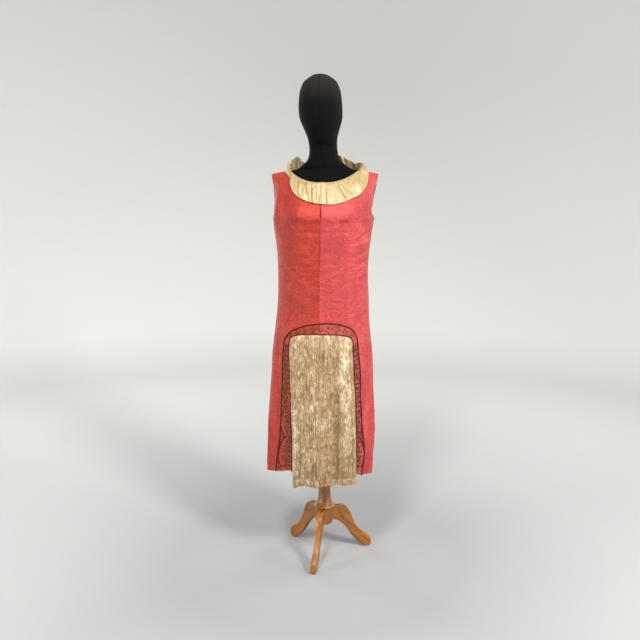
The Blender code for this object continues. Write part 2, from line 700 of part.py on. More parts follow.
def skin(name, rings, slot, tip=None):
    """A closed solid through rings of equal length, with a flat foot and a flat or pointed top."""
    body = bmesh.new()
    loops = [[body.verts.new(point) for point in ring] for ring in rings]
    for lower, upper in zip(loops, loops[1:]):
        for k in range(len(lower)):
            n = (k + 1) % len(lower)
            body.faces.new((lower[k], lower[n], upper[n], upper[k]))
    body.faces.new(loops[0][::-1])
    if tip is None:
        body.faces.new(loops[-1])
    else:
        peak = body.verts.new(tip)
        for k in range(len(loops[-1])):
            body.faces.new((loops[-1][k], loops[-1][(k + 1) % len(loops[-1])], peak))
    bmesh.ops.recalc_face_normals(body, faces=body.faces)
    mesh = bpy.data.meshes.new(name)
    body.to_mesh(mesh)
    body.free()
    return part_from(name, mesh, slot)


def form_torso():
    rings = []
    for height in FORM_LOWER_LEVELS:
        half_width, front, back, share = (
            float(smooth(FORM, "height", column, np.array(height))) for column in FORM_COLUMNS[1:]
        )
        rings.append(plain_ring(half_width, front, back, share, SQUARENESS, height))
    rings += [shoulder_ring(height) for height in FORM_SHOULDER_LEVELS]
    for height, half_width, front, back, squareness in NECK_SECTIONS:
        rings.append(plain_ring(half_width, front, back, 0.99, squareness, height))
    return skin("form_torso", rings, "black_jersey")


def form_head():
    rings = []
    low = JAW_SEAM_HEIGHT + REST_GAP
    for step in range(HEAD_LEVELS):
        height = low + (HEAD["height"][-1] - low) * math.sin(step / (HEAD_LEVELS - 1) * math.pi / 2)
        half_width, front, back = (
            float(smooth(HEAD, "height", column, np.array(height))) for column in HEAD_COLUMNS[1:]
        )
        rings.append(plain_ring(half_width, front, back, 0.99, 2.0, height))
    tip = (float(lean(np.array(HEAD_TOP_HEIGHT))), 0.0, HEAD_TOP_HEIGHT)
    return skin("form_head", rings, "black_jersey", tip)


def stand_column():
    """The turned column with its hub and bead, up to the foot of the form."""
    pole = COLUMN_PROFILE[-1][0]
    profile = list(COLUMN_PROFILE) + [(pole, FORM_LOWER_LEVELS[0] - REST_GAP)]
    rings = []
    for radius, height in profile:
        turns = np.linspace(0, 2 * math.pi, COLUMN_SIDES, endpoint=False)
        rings.append([(COLUMN_X + radius * math.cos(t), radius * math.sin(t), height) for t in turns])
    return skin("stand_column", rings, "waxed_wood")


def through(points, steps):
    """Points on a smooth curve through the given ones."""
    table = named(LEG_OUTLINE_COLUMNS, points)
    count = len(points)
    table["along"] = np.arange(count, dtype=float)
    at = np.linspace(0, count - 1, steps)
    return list(zip(smooth(table, "along", "reach", at), smooth(table, "along", "height", at)))


def leg(name, turn):
    """A shaped board leg, cut round where it meets the hub."""
    outline = through(LEG_TOP, 22) + list(LEG_UNDER[:2]) + through(LEG_UNDER[1:], 13)[1:]
    board = bmesh.new()
    corners = [board.verts.new((reach, -LEG_THICKNESS / 2, height)) for reach, height in outline]
    face = board.faces.new(corners)
    made = bmesh.ops.extrude_face_region(board, geom=[face])
    moved = [v for v in made["geom"] if isinstance(v, bmesh.types.BMVert)]
    bmesh.ops.translate(board, verts=moved, vec=Vector((0, LEG_THICKNESS, 0)))
    bmesh.ops.recalc_face_normals(board, faces=board.faces)
    mesh = bpy.data.meshes.new(name)
    board.to_mesh(mesh)
    board.free()
    obj = part_from(name, mesh, "waxed_wood")
    obj.location = (COLUMN_X, 0, 0)
    obj.rotation_euler = (0, 0, math.radians(turn - 90))
    rounded = obj.modifiers.new("rounded edges", "BEVEL")
    rounded.width = LEG_EDGE_ROUND
    rounded.segments = 1
    rounded.limit_method = "ANGLE"
    rounded.angle_limit = math.radians(60)
    cut = obj.modifiers.new("seat on the hub", "BOOLEAN")
    cut.operation = "DIFFERENCE"
    cut.object = hub_cutter()
    return obj


def hub_cutter():
    found = bpy.data.objects.get("hub_cutter")
    if found:
        return found
    drum = bmesh.new()
    radius = COLUMN_PROFILE[4][0] + REST_GAP
    bmesh.ops.create_cone(
        drum, cap_ends=True, segments=2 * COLUMN_SIDES, radius1=radius, radius2=radius, depth=0.2,
        matrix=Matrix.Translation((COLUMN_X, 0, 0.15)),
    )
    mesh = bpy.data.meshes.new("hub_cutter")
    drum.to_mesh(mesh)
    drum.free()
    obj = bpy.data.objects.new("hub_cutter", mesh)
    obj.hide_render = True
    obj.display_type = "WIRE"
    bpy.context.scene.collection.objects.link(obj)
    return obj


def main():
    for obj in list(bpy.data.objects):
        bpy.data.objects.remove(obj, do_unlink=True)
    front_half("dress_front_right", 1)
    front_half("dress_front_left", -1)
    dress_back()
    lame_panel()
    collar()
    form_torso()
    form_head()
    stand_column()
    for name, turn in zip(LEG_NAMES, LEG_TURNS):
        leg(name, turn)
    for obj in bpy.data.objects:
        obj.location.x -= ORIGIN_FROM_AXIS[0]
        obj.location.y -= ORIGIN_FROM_AXIS[1]


main()
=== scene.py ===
import math

import bmesh
import bpy
import numpy as np
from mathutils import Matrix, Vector


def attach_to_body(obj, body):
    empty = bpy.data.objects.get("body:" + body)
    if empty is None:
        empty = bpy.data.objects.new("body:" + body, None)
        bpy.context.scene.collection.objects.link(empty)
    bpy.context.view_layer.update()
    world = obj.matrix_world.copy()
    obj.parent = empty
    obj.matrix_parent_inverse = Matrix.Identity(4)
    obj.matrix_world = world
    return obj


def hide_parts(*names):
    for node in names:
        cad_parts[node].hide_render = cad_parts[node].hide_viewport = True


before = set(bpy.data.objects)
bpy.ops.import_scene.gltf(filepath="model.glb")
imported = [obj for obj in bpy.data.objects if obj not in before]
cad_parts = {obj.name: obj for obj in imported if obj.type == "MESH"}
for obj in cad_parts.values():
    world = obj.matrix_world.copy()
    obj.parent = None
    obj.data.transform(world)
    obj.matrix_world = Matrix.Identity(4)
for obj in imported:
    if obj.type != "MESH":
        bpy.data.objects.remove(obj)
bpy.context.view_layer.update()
print("frame loaded")

mm = 0.001
middle = (0.008, 0.024, 0.0)  # the form's axis in the frame, which stands on the middle of the part's own area


def table(columns, rows):
    return dict(zip(columns.split(), np.array(rows, float).T))


def smooth(values, key, column, at):
    x, y = values[key], values[column]
    slope = np.gradient(y, x)
    at = np.clip(at, x[0], x[-1])
    i = np.clip(np.searchsorted(x, at) - 1, 0, len(x) - 2)
    span = x[i + 1] - x[i]
    t = (at - x[i]) / span
    lead = t * (1 - t) ** 2 * span * slope[i]
    trail = t * t * (t - 1) * span * slope[i + 1]
    return y[i] + (y[i + 1] - y[i]) * (3 - 2 * t) * t * t + lead + trail


def ramp(value):
    value = np.clip(value, 0, 1)
    return value * value * (3 - 2 * value)


def signedPower(value, power):
    return np.sign(value) * np.abs(value) ** power


def unit(vectors):
    return vectors / np.maximum(np.linalg.norm(vectors, axis=-1, keepdims=True), 1e-12)


def softNoise(x, y, seed):
    # smooth noise from -1 to 1 on a lattice of seeded values
    lattice = np.random.default_rng(seed).uniform(-1, 1, (257, 257))
    ix, iy = np.floor(x).astype(int), np.floor(y).astype(int)
    fx, fy = ramp(x - ix), ramp(y - iy)
    a, b = lattice[ix % 256, iy % 256], lattice[(ix + 1) % 256, iy % 256]
    c, d = lattice[ix % 256, (iy + 1) % 256], lattice[(ix + 1) % 256, (iy + 1) % 256]
    return (a * (1 - fx) + b * fx) * (1 - fy) + (c * (1 - fx) + d * fx) * fy


def crumple(x, y, seed):
    # thin ridges where a soft noise crosses zero, 0 to 1
    return (1 - np.abs(softNoise(x, y, seed))) ** 5


def creased(across, down, rows):
    # soft troughs and ridges: each has its place, its slant in degrees, half its length and width, and its height in mm
    push = np.zeros(np.shape(across))
    for x, y, slant, length, width, height in rows:
        dx, dy = across - x, down - y
        c, s = math.cos(math.radians(slant)), math.sin(math.radians(slant))
        push = push + height * mm * np.exp(-(((dx * c + dy * s) / length) ** 2) - ((dy * c - dx * s) / width) ** 2)
    return push


def objectFrom(name, mesh):
    found = bpy.data.objects.new(name, mesh)
    bpy.context.scene.collection.objects.link(found)
    return found


def placed(points):
    return points + np.array(middle)


def attach(mesh, title, kind, values):
    # a number or a direction on each point, for a material or for stitches to read
    layer = mesh.attributes.new(title, kind, "POINT")
    layer.data.foreach_set("vector" if kind == "FLOAT_VECTOR" else "value", np.asarray(values, np.float32).ravel())


def normalsOf(surface, u, v, uRange, vRange, step=0.003):
    alongU = surface(np.clip(u + step, *uRange), v) - surface(np.clip(u - step, *uRange), v)
    alongV = surface(u, np.clip(v + step, *vRange)) - surface(u, np.clip(v - step, *vRange))
    return unit(np.cross(alongU, alongV))


def runs(points, axis):
    # how far each point of a grid lies along its row or its column
    steps = np.linalg.norm(np.diff(points, axis=axis), axis=2)
    first = np.zeros_like(steps[:, :1] if axis else steps[:1])
    return np.concatenate([first, np.cumsum(steps, axis=axis)], axis=axis)


def clothWall(name, outer, inner, cells=None, closed=False, shades=None):
    # a closed thin wall between two grids of points, with a UV map in metres of cloth
    rows, columns = outer.shape[:2]
    last = columns if closed else columns - 1
    if cells is None:
        cells = np.ones((rows - 1, last), bool)
    i, j = np.nonzero(cells)
    k = (j + 1) % columns
    faces = np.stack([i * columns + j, i * columns + k, (i + 1) * columns + k, (i + 1) * columns + j], axis=1)
    edges = {}
    for face in faces.tolist():
        for n in range(4):
            a, b = face[n], face[(n + 1) % 4]
            if (b, a) in edges:
                del edges[(b, a)]
            else:
                edges[(a, b)] = True
    under = rows * columns
    rim = [(b, a, under + a, under + b) for a, b in sorted(edges)]
    every = faces.tolist() + (faces[:, ::-1] + under).tolist() + rim
    across, down = runs(outer, 1), runs(outer, 0)
    points = placed(np.concatenate([outer.reshape(-1, 3), inner.reshape(-1, 3)]))
    uv = np.stack([across.mean(axis=0)[None, :] + 0 * down, down], axis=-1).reshape(-1, 2)
    uv = np.concatenate([uv, uv])
    mesh = bpy.data.meshes.new(name)
    mesh.from_pydata(points.tolist(), [], every)
    layer = mesh.uv_layers.new(name="cloth")
    loops = np.zeros(len(mesh.loops), np.int32)
    mesh.loops.foreach_get("vertex_index", loops)
    layer.data.foreach_set("uv", uv[loops].astype(np.float32).ravel())
    for title, values in (shades or {}).items():
        attach(mesh, title, "FLOAT", np.tile(values.ravel(), 2))
    shell = bmesh.new()
    shell.from_mesh(mesh)
    bmesh.ops.delete(shell, geom=[v for v in shell.verts if not v.link_faces], context="VERTS")
    bmesh.ops.recalc_face_normals(shell, faces=shell.faces)
    shell.to_mesh(mesh)
    shell.free()
    mesh.shade_smooth()
    mesh.set_sharp_from_angle(angle=math.radians(60))
    return objectFrom(name, mesh)


def skin(name, rings, tip=None):
    # a closed solid through rings of equal length
    rings = placed(np.array(rings, float))
    count, around = rings.shape[:2]
    body = bmesh.new()
    verts = [body.verts.new(p) for p in rings.reshape(-1, 3)]
    for i in range(count - 1):
        for j in range(around):
            k = (j + 1) % around
            corners = (i * around + j, i * around + k, (i + 1) * around + k, (i + 1) * around + j)
            body.faces.new([verts[n] for n in corners])
    body.faces.new(verts[:around][::-1])
    if tip is None:
        body.faces.new(verts[-around:])
    else:
        peak = body.verts.new(placed(np.array(tip)))
        for j in range(around):
            body.faces.new((verts[(count - 1) * around + j], verts[(count - 1) * around + (j + 1) % around], peak))
    bmesh.ops.recalc_face_normals(body, faces=body.faces)
    mesh = bpy.data.meshes.new(name)
    body.to_mesh(mesh)
    body.free()
    mesh.shade_smooth()
    mesh.set_sharp_from_angle(angle=math.radians(50))
    return objectFrom(name, mesh)


class Wire:
    # one socket of a node; sums and products of wires add Math nodes
    def __init__(self, board, socket):
        self.board, self.socket = board, socket

    def also(self, name):
        return Wire(self.board, self.socket.node.outputs[name])

    def __add__(self, other):
        return self.board.calc("ADD", self, other)

    def __radd__(self, other):
        return self.board.calc("ADD", other, self)

    def __sub__(self, other):
        return self.board.calc("SUBTRACT", self, other)

    def __rsub__(self, other):
        return self.board.calc("SUBTRACT", other, self)

    def __mul__(self, other):
        return self.board.calc("MULTIPLY", self, other)

    def __rmul__(self, other):
        return self.board.calc("MULTIPLY", other, self)

    def __truediv__(self, other):
        return self.board.calc("DIVIDE", self, other)

    def __rtruediv__(self, other):
        return self.board.calc("DIVIDE", other, self)

    def __pow__(self, other):
        return self.board.calc("POWER", self, other)


class Board:
    # a node tree, with the one method that makes its nodes
    def __init__(self, tree):
        self.tree = tree

    def node(self, kind, settings=None, values=None, out=0):
        made = self.tree.nodes.new(kind)
        for key, value in (settings or {}).items():
            if key == "stops":
                stops = made.color_ramp.elements
                while len(stops) < len(value):
                    stops.new(0.5)
                for stop, (position, color) in zip(stops, value):
                    stop.position, stop.color = position, color
            else:
                setattr(made, key, value)
        for key, value in (values or {}).items():
            if isinstance(value, Wire):
                self.tree.links.new(value.socket, made.inputs[key])
            else:
                made.inputs[key].default_value = value
        return Wire(self, made.outputs[out]) if made.outputs else None

    def calc(self, operation, *values, clamp=False):
        return self.node("ShaderNodeMath", {"operation": operation, "use_clamp": clamp}, dict(enumerate(values)))

    def place(self):
        return self.node("ShaderNodeTexCoord", {}, {}, "Object")

    def cloth(self):
        return self.node("ShaderNodeUVMap", {"uv_map": "cloth"})

    def axes(self, place):
        return self.node("ShaderNodeSeparateXYZ", {}, {0: place}, "X")

    def carried(self, title, out="Fac"):
        return self.node("ShaderNodeAttribute", {"attribute_name": title}, {}, out)

    def noise(self, place, scale, detail=2.0, roughness=0.5, distortion=0.0):
        if isinstance(scale, tuple):  # its own scale along each axis
            place, scale = self.node("ShaderNodeMapping", {}, {"Vector": place, "Scale": scale}), 1.0
        return self.node("ShaderNodeTexNoise", {}, {
            "Vector": place, "Scale": scale, "Detail": detail, "Roughness": roughness, "Distortion": distortion})

    def blend(self, factor, first, second):
        return self.node("ShaderNodeMix", {"data_type": "RGBA"}, {0: factor, 6: first, 7: second}, 2)

    def bump(self, height):
        # the height is in millimetres
        return self.node("ShaderNodeBump", {}, {"Strength": 1.0, "Distance": mm, "Height": height}, "Normal")

    def ramp(self, value, stops):
        return self.node("ShaderNodeValToRGB", {"stops": stops}, {0: value})

    def sine(self, value, period):
        return self.calc("SINE", value * (2 * math.pi / period))


def rgb(red, green, blue):
    # a colour as a screen shows it, 0 to 255, made linear
    return tuple(((c / 255 + 0.055) / 1.055) ** 2.4 for c in (red, green, blue)) + (1.0,)


def newFinish(name):
    material = bpy.data.materials.new(name)
    material.use_nodes = True
    material.node_tree.nodes.clear()
    return material, Board(material.node_tree)


def surface(board, values):
    shader = board.node("ShaderNodeBsdfPrincipled", {}, values)
    board.node("ShaderNodeOutputMaterial", {}, {"Surface": shader})


def ridges(board, value, sharpness):
    # fine lines where a noise passes its middle
    return (1 - board.calc("ABSOLUTE", value * 2 - 1)) ** sharpness


def silkFinish(name, tones, stitched):
    # dyed silk with a soft crushed hand: deep, main and light colour, and the colour under the border's stitches
    deep, main, light = tones
    material, board = newFinish(name)
    place = board.place()
    cloth = board.cloth()
    axes = board.axes(cloth)
    cloud = board.noise(place, 15.0, 3.0, 0.55)
    blotch = board.noise(place, 52.0, 3.0, 0.6, 0.6)
    streak = board.noise(place, (95, 95, 9), 2.0)
    fleck = board.noise(place, (420, 420, 300), 1.0)
    # painted highlights and shade that the pieces carry lighten or darken the silk's tone
    faded = board.carried("faded")
    creaseAndHighlight = ridges(board, board.noise(place, 34.0, 2.0, 0.5, 0.9), 10.0)
    creaseAndHighlight = creaseAndHighlight + 0.6 * ridges(board, board.noise(place, (84, 84, 48), 1.0, 0.5, 1.2), 9.0)
    creaseAndHighlight = creaseAndHighlight + 0.7 * ridges(board, board.noise(place, (16, 16, 58), 2.0, 0.5, 0.7), 14.0)
    # the crease lines raise the bump and are painted lighter, a painted highlight along each crease
    tone = cloud * 0.30 + blotch * 0.22 + streak * 0.16 + fleck * 0.14 + faded * 0.18 + creaseAndHighlight * 0.08
    color = board.ramp(tone, ((0.24, rgb(*deep)), (0.44, rgb(*main)), (0.64, rgb(*light))))
    worked = board.carried("worked")
    mottle = board.noise(place, 170.0, 2.0, 0.6)
    filled = board.ramp(mottle, ((0.42, rgb(*stitched[0])), (0.57, rgb(*stitched[1]))))
    color = board.blend(board.calc("MULTIPLY", worked, 0.50 + 0.70 * mottle, clamp=True), color, filled)
    weave = board.sine(axes, silk["yarn"]) * board.sine(axes.also("Y"), silk["yarn"])
    height = creaseAndHighlight * silk["creaseMm"] + blotch * silk["puckerMm"] + fleck * silk["slubMm"] + weave * silk["weaveMm"]
    bump = board.bump(height)
    surface(board, {
        "Base Color": color, "Roughness": silk["roughness"] + 0.16 * blotch, "Normal": bump,
        "Specular IOR Level": silk["gloss"]})
    return material


def lameFinish(name, tones, look):
    # silk woven with flat metal thread, fine streaks down the cloth; dark, middle, pale and glint
    material, board = newFinish(name)
    cloth = board.cloth()
    axes = board.axes(cloth)
    streak = board.noise(cloth, look["streakScale"], 2.0, 0.6, 0.4)
    broken = board.noise(cloth, look["crushScale"], 3.0, 0.65, 1.3)
    cloud = board.noise(cloth, (30, 17, 1), 2.0, 0.5, 0.6)
    glint = board.noise(cloth, (900, 420, 1), 1.0)
    strokeAndHighlight = ridges(board, board.noise(cloth, look["strokeScale"], 2.0, 0.55, 1.1), 4.0)
    # the panel's random tone and its painted highlights and shade, carried on its points
    faded = board.carried("faded")
    # the glints and pale strokes lift the tone as painted highlights for the metal's reflections, and the dark tone is
    # partly painted shade in the crinkles
    tone = streak * 0.27 + broken * 0.29 + cloud * 0.25 + glint * 0.09 + strokeAndHighlight * 0.10 + faded * 0.09
    dark, middle, pale, bright = (rgb(*t) for t in tones)
    color = board.ramp(tone, ((0.34, dark), (0.45, middle), (0.55, pale), (0.66, bright)))
    ribs = board.sine(axes.also("Y"), look["yarn"]) + 0.6 * board.sine(axes, look["yarn"])
    height = streak * look["streakMm"] + broken * look["crushMm"] + strokeAndHighlight * look["strokeMm"] + ribs * look["weaveMm"]
    bump = board.bump(height)
    surface(board, {
        "Base Color": color, "Metallic": look["metal"] + 0.25 * broken, "Roughness": look["roughness"] + 0.2 * glint,
        "Normal": bump})
    return material


def jerseyFinish(name):
    # black cotton jersey drawn tight, with its wales running down, and a painted highlight on its crown
    material, board = newFinish(name)
    place = board.place()
    axes = board.axes(place)
    around = board.calc("ARCTAN2", axes - middle[0], axes.also("Y") - middle[1]) * jersey["radius"]
    wale = board.sine(around, jersey["wale"])
    row = board.sine(axes.also("Z") + 0.0004 * wale, jersey["row"])
    wear = board.noise(place, 24.0, 4.0, 0.6)
    speck = board.noise(place, 520.0, 1.0)
    color = board.ramp(wear * 0.7 + speck * 0.3, ((0.36, rgb(*jersey["dark"])), (0.66, rgb(*jersey["worn"]))))
    # the crown is painted paler towards the top, uneven with the wear noise: a painted highlight
    crownHighlight = board.calc("MULTIPLY", (axes.also("Z") - jersey["crownHighlightFrom"]) / 0.11, 0.45 + wear, clamp=True)
    color = board.blend(crownHighlight * 0.75, color, rgb(*jersey["crownHighlightTone"]))
    besideSeam = board.calc("ABSOLUTE", axes - (middle[0] + jersey["seamX"]))
    seam = board.calc(
        "MULTIPLY", 1 - besideSeam / jersey["seamWidth"], (axes.also("Z") - jersey["seamFrom"]) / 0.05, clamp=True)
    color = board.blend(seam * 0.7, color, rgb(*jersey["dark"]))
    bump = board.bump(wale * 0.05 + row * 0.04 + speck * 0.12 + wear * 0.4 - seam * 0.8)
    surface(board, {
        "Base Color": color, "Roughness": 0.74 + 0.2 * wear, "Normal": bump, "Specular IOR Level": 0.07})
    return material


def woodFinish(name):
    # waxed beech, its grain running along the attribute that each piece carries
    material, board = newFinish(name)
    grain = board.carried("grain", "Vector")
    warp = board.noise(grain, (5, 26, 26), 3.0, 0.5)
    figure = board.noise(grain, (9, 130, 130), 3.0, 0.55, 0.8)
    rings = board.calc("SINE", (warp * 9 + figure * 1.6) * math.pi) * 0.5 + 0.5
    pores = board.noise(grain, (110, 1900, 1900), 1.0)
    worn = board.noise(grain, 40.0, 3.0, 0.6)
    tone = rings * 0.16 + figure * 0.40 + pores * 0.22 + worn * 0.22
    color = board.ramp(tone, tuple((at, rgb(*c)) for at, c in wood["tones"]))
    bump = board.bump(pores * 0.10 + rings * 0.04 + worn * 0.15)
    surface(board, {
        "Base Color": color, "Roughness": wood["roughness"] + 0.25 * worn, "Coat Weight": 0.04 + 0.12 * worn,
        "Coat Roughness": 0.32, "Normal": bump})
    return material


def threadFinish(name, dark, light, roughness=0.7):
    material, board = newFinish(name)
    place = board.place()
    twist = board.noise(place, 1500.0, 1.0)
    batch = board.noise(place, 120.0, 2.0)
    color = board.ramp(twist * 0.5 + batch * 0.5, ((0.38, rgb(*dark)), (0.64, rgb(*light))))
    surface(board, {"Base Color": color, "Roughness": roughness + 0.15 * twist, "Specular IOR Level": 0.2})
    return material


silk = {
    "yarn": 0.8 * mm, "weaveMm": 0.03, "slubMm": 0.20, "puckerMm": 0.7, "creaseMm": 1.0,
    "roughness": 0.41, "gloss": 0.19}
jersey = {
    "radius": 0.075, "wale": 1.5 * mm, "row": 1.1 * mm, "dark": (2, 2, 3), "worn": (9, 8, 9), "crownHighlightTone": (46, 39, 37),
    "crownHighlightFrom": 1.665, "seamX": -0.0065, "seamFrom": 1.54, "seamWidth": 1.6 * mm}
wood = {
    "roughness": 0.30,
    "tones": ((0.28, (82, 42, 5)), (0.44, (114, 65, 10)), (0.58, (137, 83, 16)), (0.72, (160, 103, 27)))}
coralLeft = silkFinish("coralSilkLeft", ((115, 31, 22), (131, 37, 26), (158, 51, 39)), ((62, 24, 12), (142, 58, 36)))
coralRight = silkFinish("coralSilkRight", ((128, 40, 40), (144, 47, 47), (170, 64, 61)), ((84, 36, 28), (170, 82, 70)))
coralBack = silkFinish("coralSilkBack", ((124, 36, 31), (141, 43, 37), (166, 58, 50)), ((76, 30, 20), (158, 70, 54)))
goldLame = lameFinish("goldLame", ((106, 80, 46), (129, 102, 68), (149, 125, 93), (202, 187, 162)), {
    "streakScale": (330, 48, 1), "crushScale": (110, 52, 1), "strokeScale": (36, 24, 1), "yarn": 1.0 * mm,
    "streakMm": 0.5, "crushMm": 1.2, "strokeMm": 0.7, "weaveMm": 0.03, "metal": 0.20, "roughness": 0.30})
creamLame = lameFinish("creamLame", ((132, 109, 70), (140, 119, 79), (147, 128, 88), (158, 141, 103)), {
    "streakScale": (260, 40, 1), "crushScale": (40, 40, 1), "strokeScale": (18, 14, 1), "yarn": 0.8 * mm,
    "streakMm": 0.1, "crushMm": 0.8, "strokeMm": 0.4, "weaveMm": 0.02, "metal": 0.02, "roughness": 0.34})
blackJersey = jerseyFinish("blackJersey")
waxedWood = woodFinish("waxedWood")
brownThread = threadFinish("brownThread", (26, 7, 3), (66, 20, 10))
oliveThread = threadFinish("oliveThread", (58, 28, 10), (112, 66, 32))
coralThread = threadFinish("coralThread", (150, 42, 38), (206, 84, 74))
goldThread = threadFinish("goldThread", (150, 122, 80), (214, 190, 148), 0.4)
creamThread = threadFinish("creamThread", (214, 188, 140), (250, 236, 204), 0.4)
lintFibre = threadFinish("lintFibre", (70, 68, 66), (128, 124, 120), 0.7)
print("finishes made")


def finished(piece, material):
    piece.data.materials.clear()
    piece.data.materials.append(material)


# the sewn body: two fronts that meet above the arch, and a back
dress = {
    "squareness": 2.2,
    "wall": 0.9 * mm,
    "seamGap": 0.3 * mm,
    "underarm": 1.280,
    "hemSide": 0.338,
    "hemFrontRise": 0.051,
    "hemBackRise": 0.010,
    "cornerLift": 0.014,
    "sections": table("height halfWidth front back", (
        (0.300, 0.1965, 0.150, 0.137),
        (0.420, 0.1970, 0.150, 0.137),
        (0.500, 0.1985, 0.148, 0.136),
        (0.650, 0.1915, 0.145, 0.134),
        (0.800, 0.1822, 0.139, 0.131),
        (0.900, 0.1705, 0.132, 0.126),
        (1.000, 0.1645, 0.126, 0.116),
        (1.120, 0.1622, 0.127, 0.109),
        (1.200, 0.1686, 0.132, 0.109),
        (1.280, 0.1800, 0.134, 0.110),
    )),
    "lean": table("height sideways", (
        (0.300, -0.0155), (0.500, -0.0055), (0.700, -0.001), (0.900, 0.001), (0.980, 0.003), (1.100, 0.002),
        (1.280, 0.004), (1.430, 0.008), (1.515, 0.003), (1.650, -0.007), (1.770, -0.008),
    )),
    "hemFolds": (  # turn, spread, height in mm and top
        (-97, 9, 5.0, 1.00), (-80, 7, -4.0, 0.95), (-66, 6, 5.0, 0.80), (-54, 6, -4.0, 0.72),
        (52, 7, 4.0, 0.75), (66, 6, -6.0, 0.85), (80, 7, 6.0, 0.92), (98, 8, -5.0, 0.95),
        (118, 10, 6.0, 0.90), (141, 10, -6.0, 0.88), (163, 11, 7.0, 0.95),
        (-172, 10, -7.0, 0.92), (-149, 10, 6.0, 0.90), (-124, 10, -6.0, 0.86),
    ),
    "seamY": 0.012,
    "tipHeight": 1.433,
    "tipX": 0.190,
    "shoulderSlope": 0.20,
    "armhole": table("turn edge section", (
        (0, 0.1800, 0.1800), (4, 0.1715, 0.1806), (10, 0.1680, 0.1820), (22, 0.1705, 0.1850),
        (38, 0.1760, 0.1890), (60, 0.1850, 0.1950), (90, 0.1900, 0.2020),
    )),
    "neckHalfWidth": 0.122,
    "neckFront": 0.112,
    "neckBack": 0.065,
    "cups": ((-0.041, 0.050), (0.052, 0.056)),
    "cupFoot": 1.268,
    "cupTop": 1.36,
    "archSpring": 0.841,
    "archRise": 0.038,
    "archPower": 3.2,
    "opening": table("height halfWidth sideways", (
        (0.300, 0.1150, 0.034), (0.500, 0.1145, 0.022), (0.650, 0.1135, 0.014), (0.841, 0.1115, 0.004),
        (0.900, 0.1115, 0.004),
    )),
    "upperRows": 44, "middleRows": 84, "lowerRows": 84, "innerSteps": 38, "outerSteps": 42,
    "seamSteps": (0.010, 0.022, 0.036, 0.055, 0.080, 0.108, 0.172),
    "seamFoot": 0.93,
    "seamPressed": 1.10,
    "easeWidth": 0.012,
    "creaseShare": 2.3, "unevenMm": 1.6, "rippleMm": 0.25, "crumpleMm": 1.1,
}


def lean(height):
    return smooth(dress["lean"], "height", "sideways", height)


def turnOf(share):
    return np.arcsin(np.clip(share, 0, 1) ** (dress["squareness"] / 2))


def sectionDepth(share):
    return np.clip(1 - share ** dress["squareness"], 0, 1) ** (1 / dress["squareness"])


def hemHeight(turn):
    rise = np.where(np.cos(turn) > 0, dress["hemFrontRise"], dress["hemBackRise"])
    away = (np.degrees(turn) + 270) % 360 - 180  # degrees from the left side
    return dress["hemSide"] + rise * np.cos(turn) ** 2 + dress["cornerLift"] * np.exp(-((away / 24) ** 2))


def hemFold(turn, height):
    push = np.zeros(np.shape(turn))
    for at, spread, depth, top in dress["hemFolds"]:
        away = (np.degrees(turn) - at + 180) % 360 - 180
        push = push + depth * mm * ramp((top - height) / (top - dress["hemSide"])) * np.exp(-((away / spread) ** 2))
    return push


def bodyPoint(turn, height):
    halfWidth, front, back = (smooth(dress["sections"], "height", c, height) for c in ("halfWidth", "front", "back"))
    push = hemFold(turn, height)
    x = (halfWidth + push) * signedPower(np.sin(turn), 2 / dress["squareness"])
    y = -(np.where(np.cos(turn) > 0, front, back) + push) * signedPower(np.cos(turn), 2 / dress["squareness"])
    return np.stack([x + lean(height), y, height], axis=-1)


def ridgeHeight(x):
    return dress["tipHeight"] + dress["shoulderSlope"] * (dress["tipX"] - np.abs(x))


def shoulderPoint(turn, over):
    degrees = np.degrees(np.clip(over, 0, math.pi / 2))
    x = smooth(dress["armhole"], "turn", "edge", degrees) * signedPower(np.sin(turn), 2 / dress["squareness"])
    depth = sectionDepth(np.abs(x) / smooth(dress["armhole"], "turn", "section", degrees))
    front, back = dress["sections"]["front"][-1], dress["sections"]["back"][-1]
    reach = np.where(np.cos(turn) > 0, -front * depth - dress["seamY"], back * depth - dress["seamY"])
    z = dress["underarm"] + (ridgeHeight(x) - dress["underarm"]) * np.sin(over)
    return np.stack([x + lean(z), dress["seamY"] + reach * np.cos(over), z], axis=-1)


def dressPoint(turn, level):
    # level is metres below the underarm, or radians over the shoulder above it
    turn, level = np.broadcast_arrays(turn, level)
    low = bodyPoint(turn, dress["underarm"] + np.minimum(level, 0))
    high = shoulderPoint(turn, np.maximum(level, 0))
    return np.where((level < 0)[..., None], low, high)


def clothTop(turn):
    low, high = np.zeros(np.shape(turn)), np.full(np.shape(turn), math.pi / 2)
    depth = np.where(np.cos(turn) > 0, dress["neckFront"], dress["neckBack"])
    for _ in range(36):
        half = (low + high) / 2
        point = shoulderPoint(turn, half)
        x, y = point[..., 0] - lean(point[..., 2]), point[..., 1] - dress["seamY"]
        outside = (x / dress["neckHalfWidth"]) ** 2 + (y / depth) ** 2 > 1
        low, high = np.where(outside, half, low), np.where(outside, high, half)
    foot, seam = shoulderPoint(turn, 0 * low), shoulderPoint(turn, 0 * low + math.pi / 2)
    reach = np.maximum(np.abs(foot[..., 1] - seam[..., 1]), 0.02)
    return np.minimum(low, math.pi / 2 - dress["seamGap"] / 2 / reach)


def borderShare(height, side):
    halfWidth = smooth(dress["sections"], "height", "halfWidth", height)
    sideways = smooth(dress["opening"], "height", "sideways", height)
    opened = (smooth(dress["opening"], "height", "halfWidth", height) + side * sideways) / halfWidth
    neck = dress["neckHalfWidth"] / dress["tipX"]
    up = np.clip((height - dress["archSpring"]) / (dress["underarm"] - dress["archSpring"]), 0, 1)
    return opened + (neck - opened) * up


def archHeight(share):
    power = dress["archPower"]
    return dress["archSpring"] + dress["archRise"] * np.clip(1 - share**power, 0, 1) ** (1 / power)


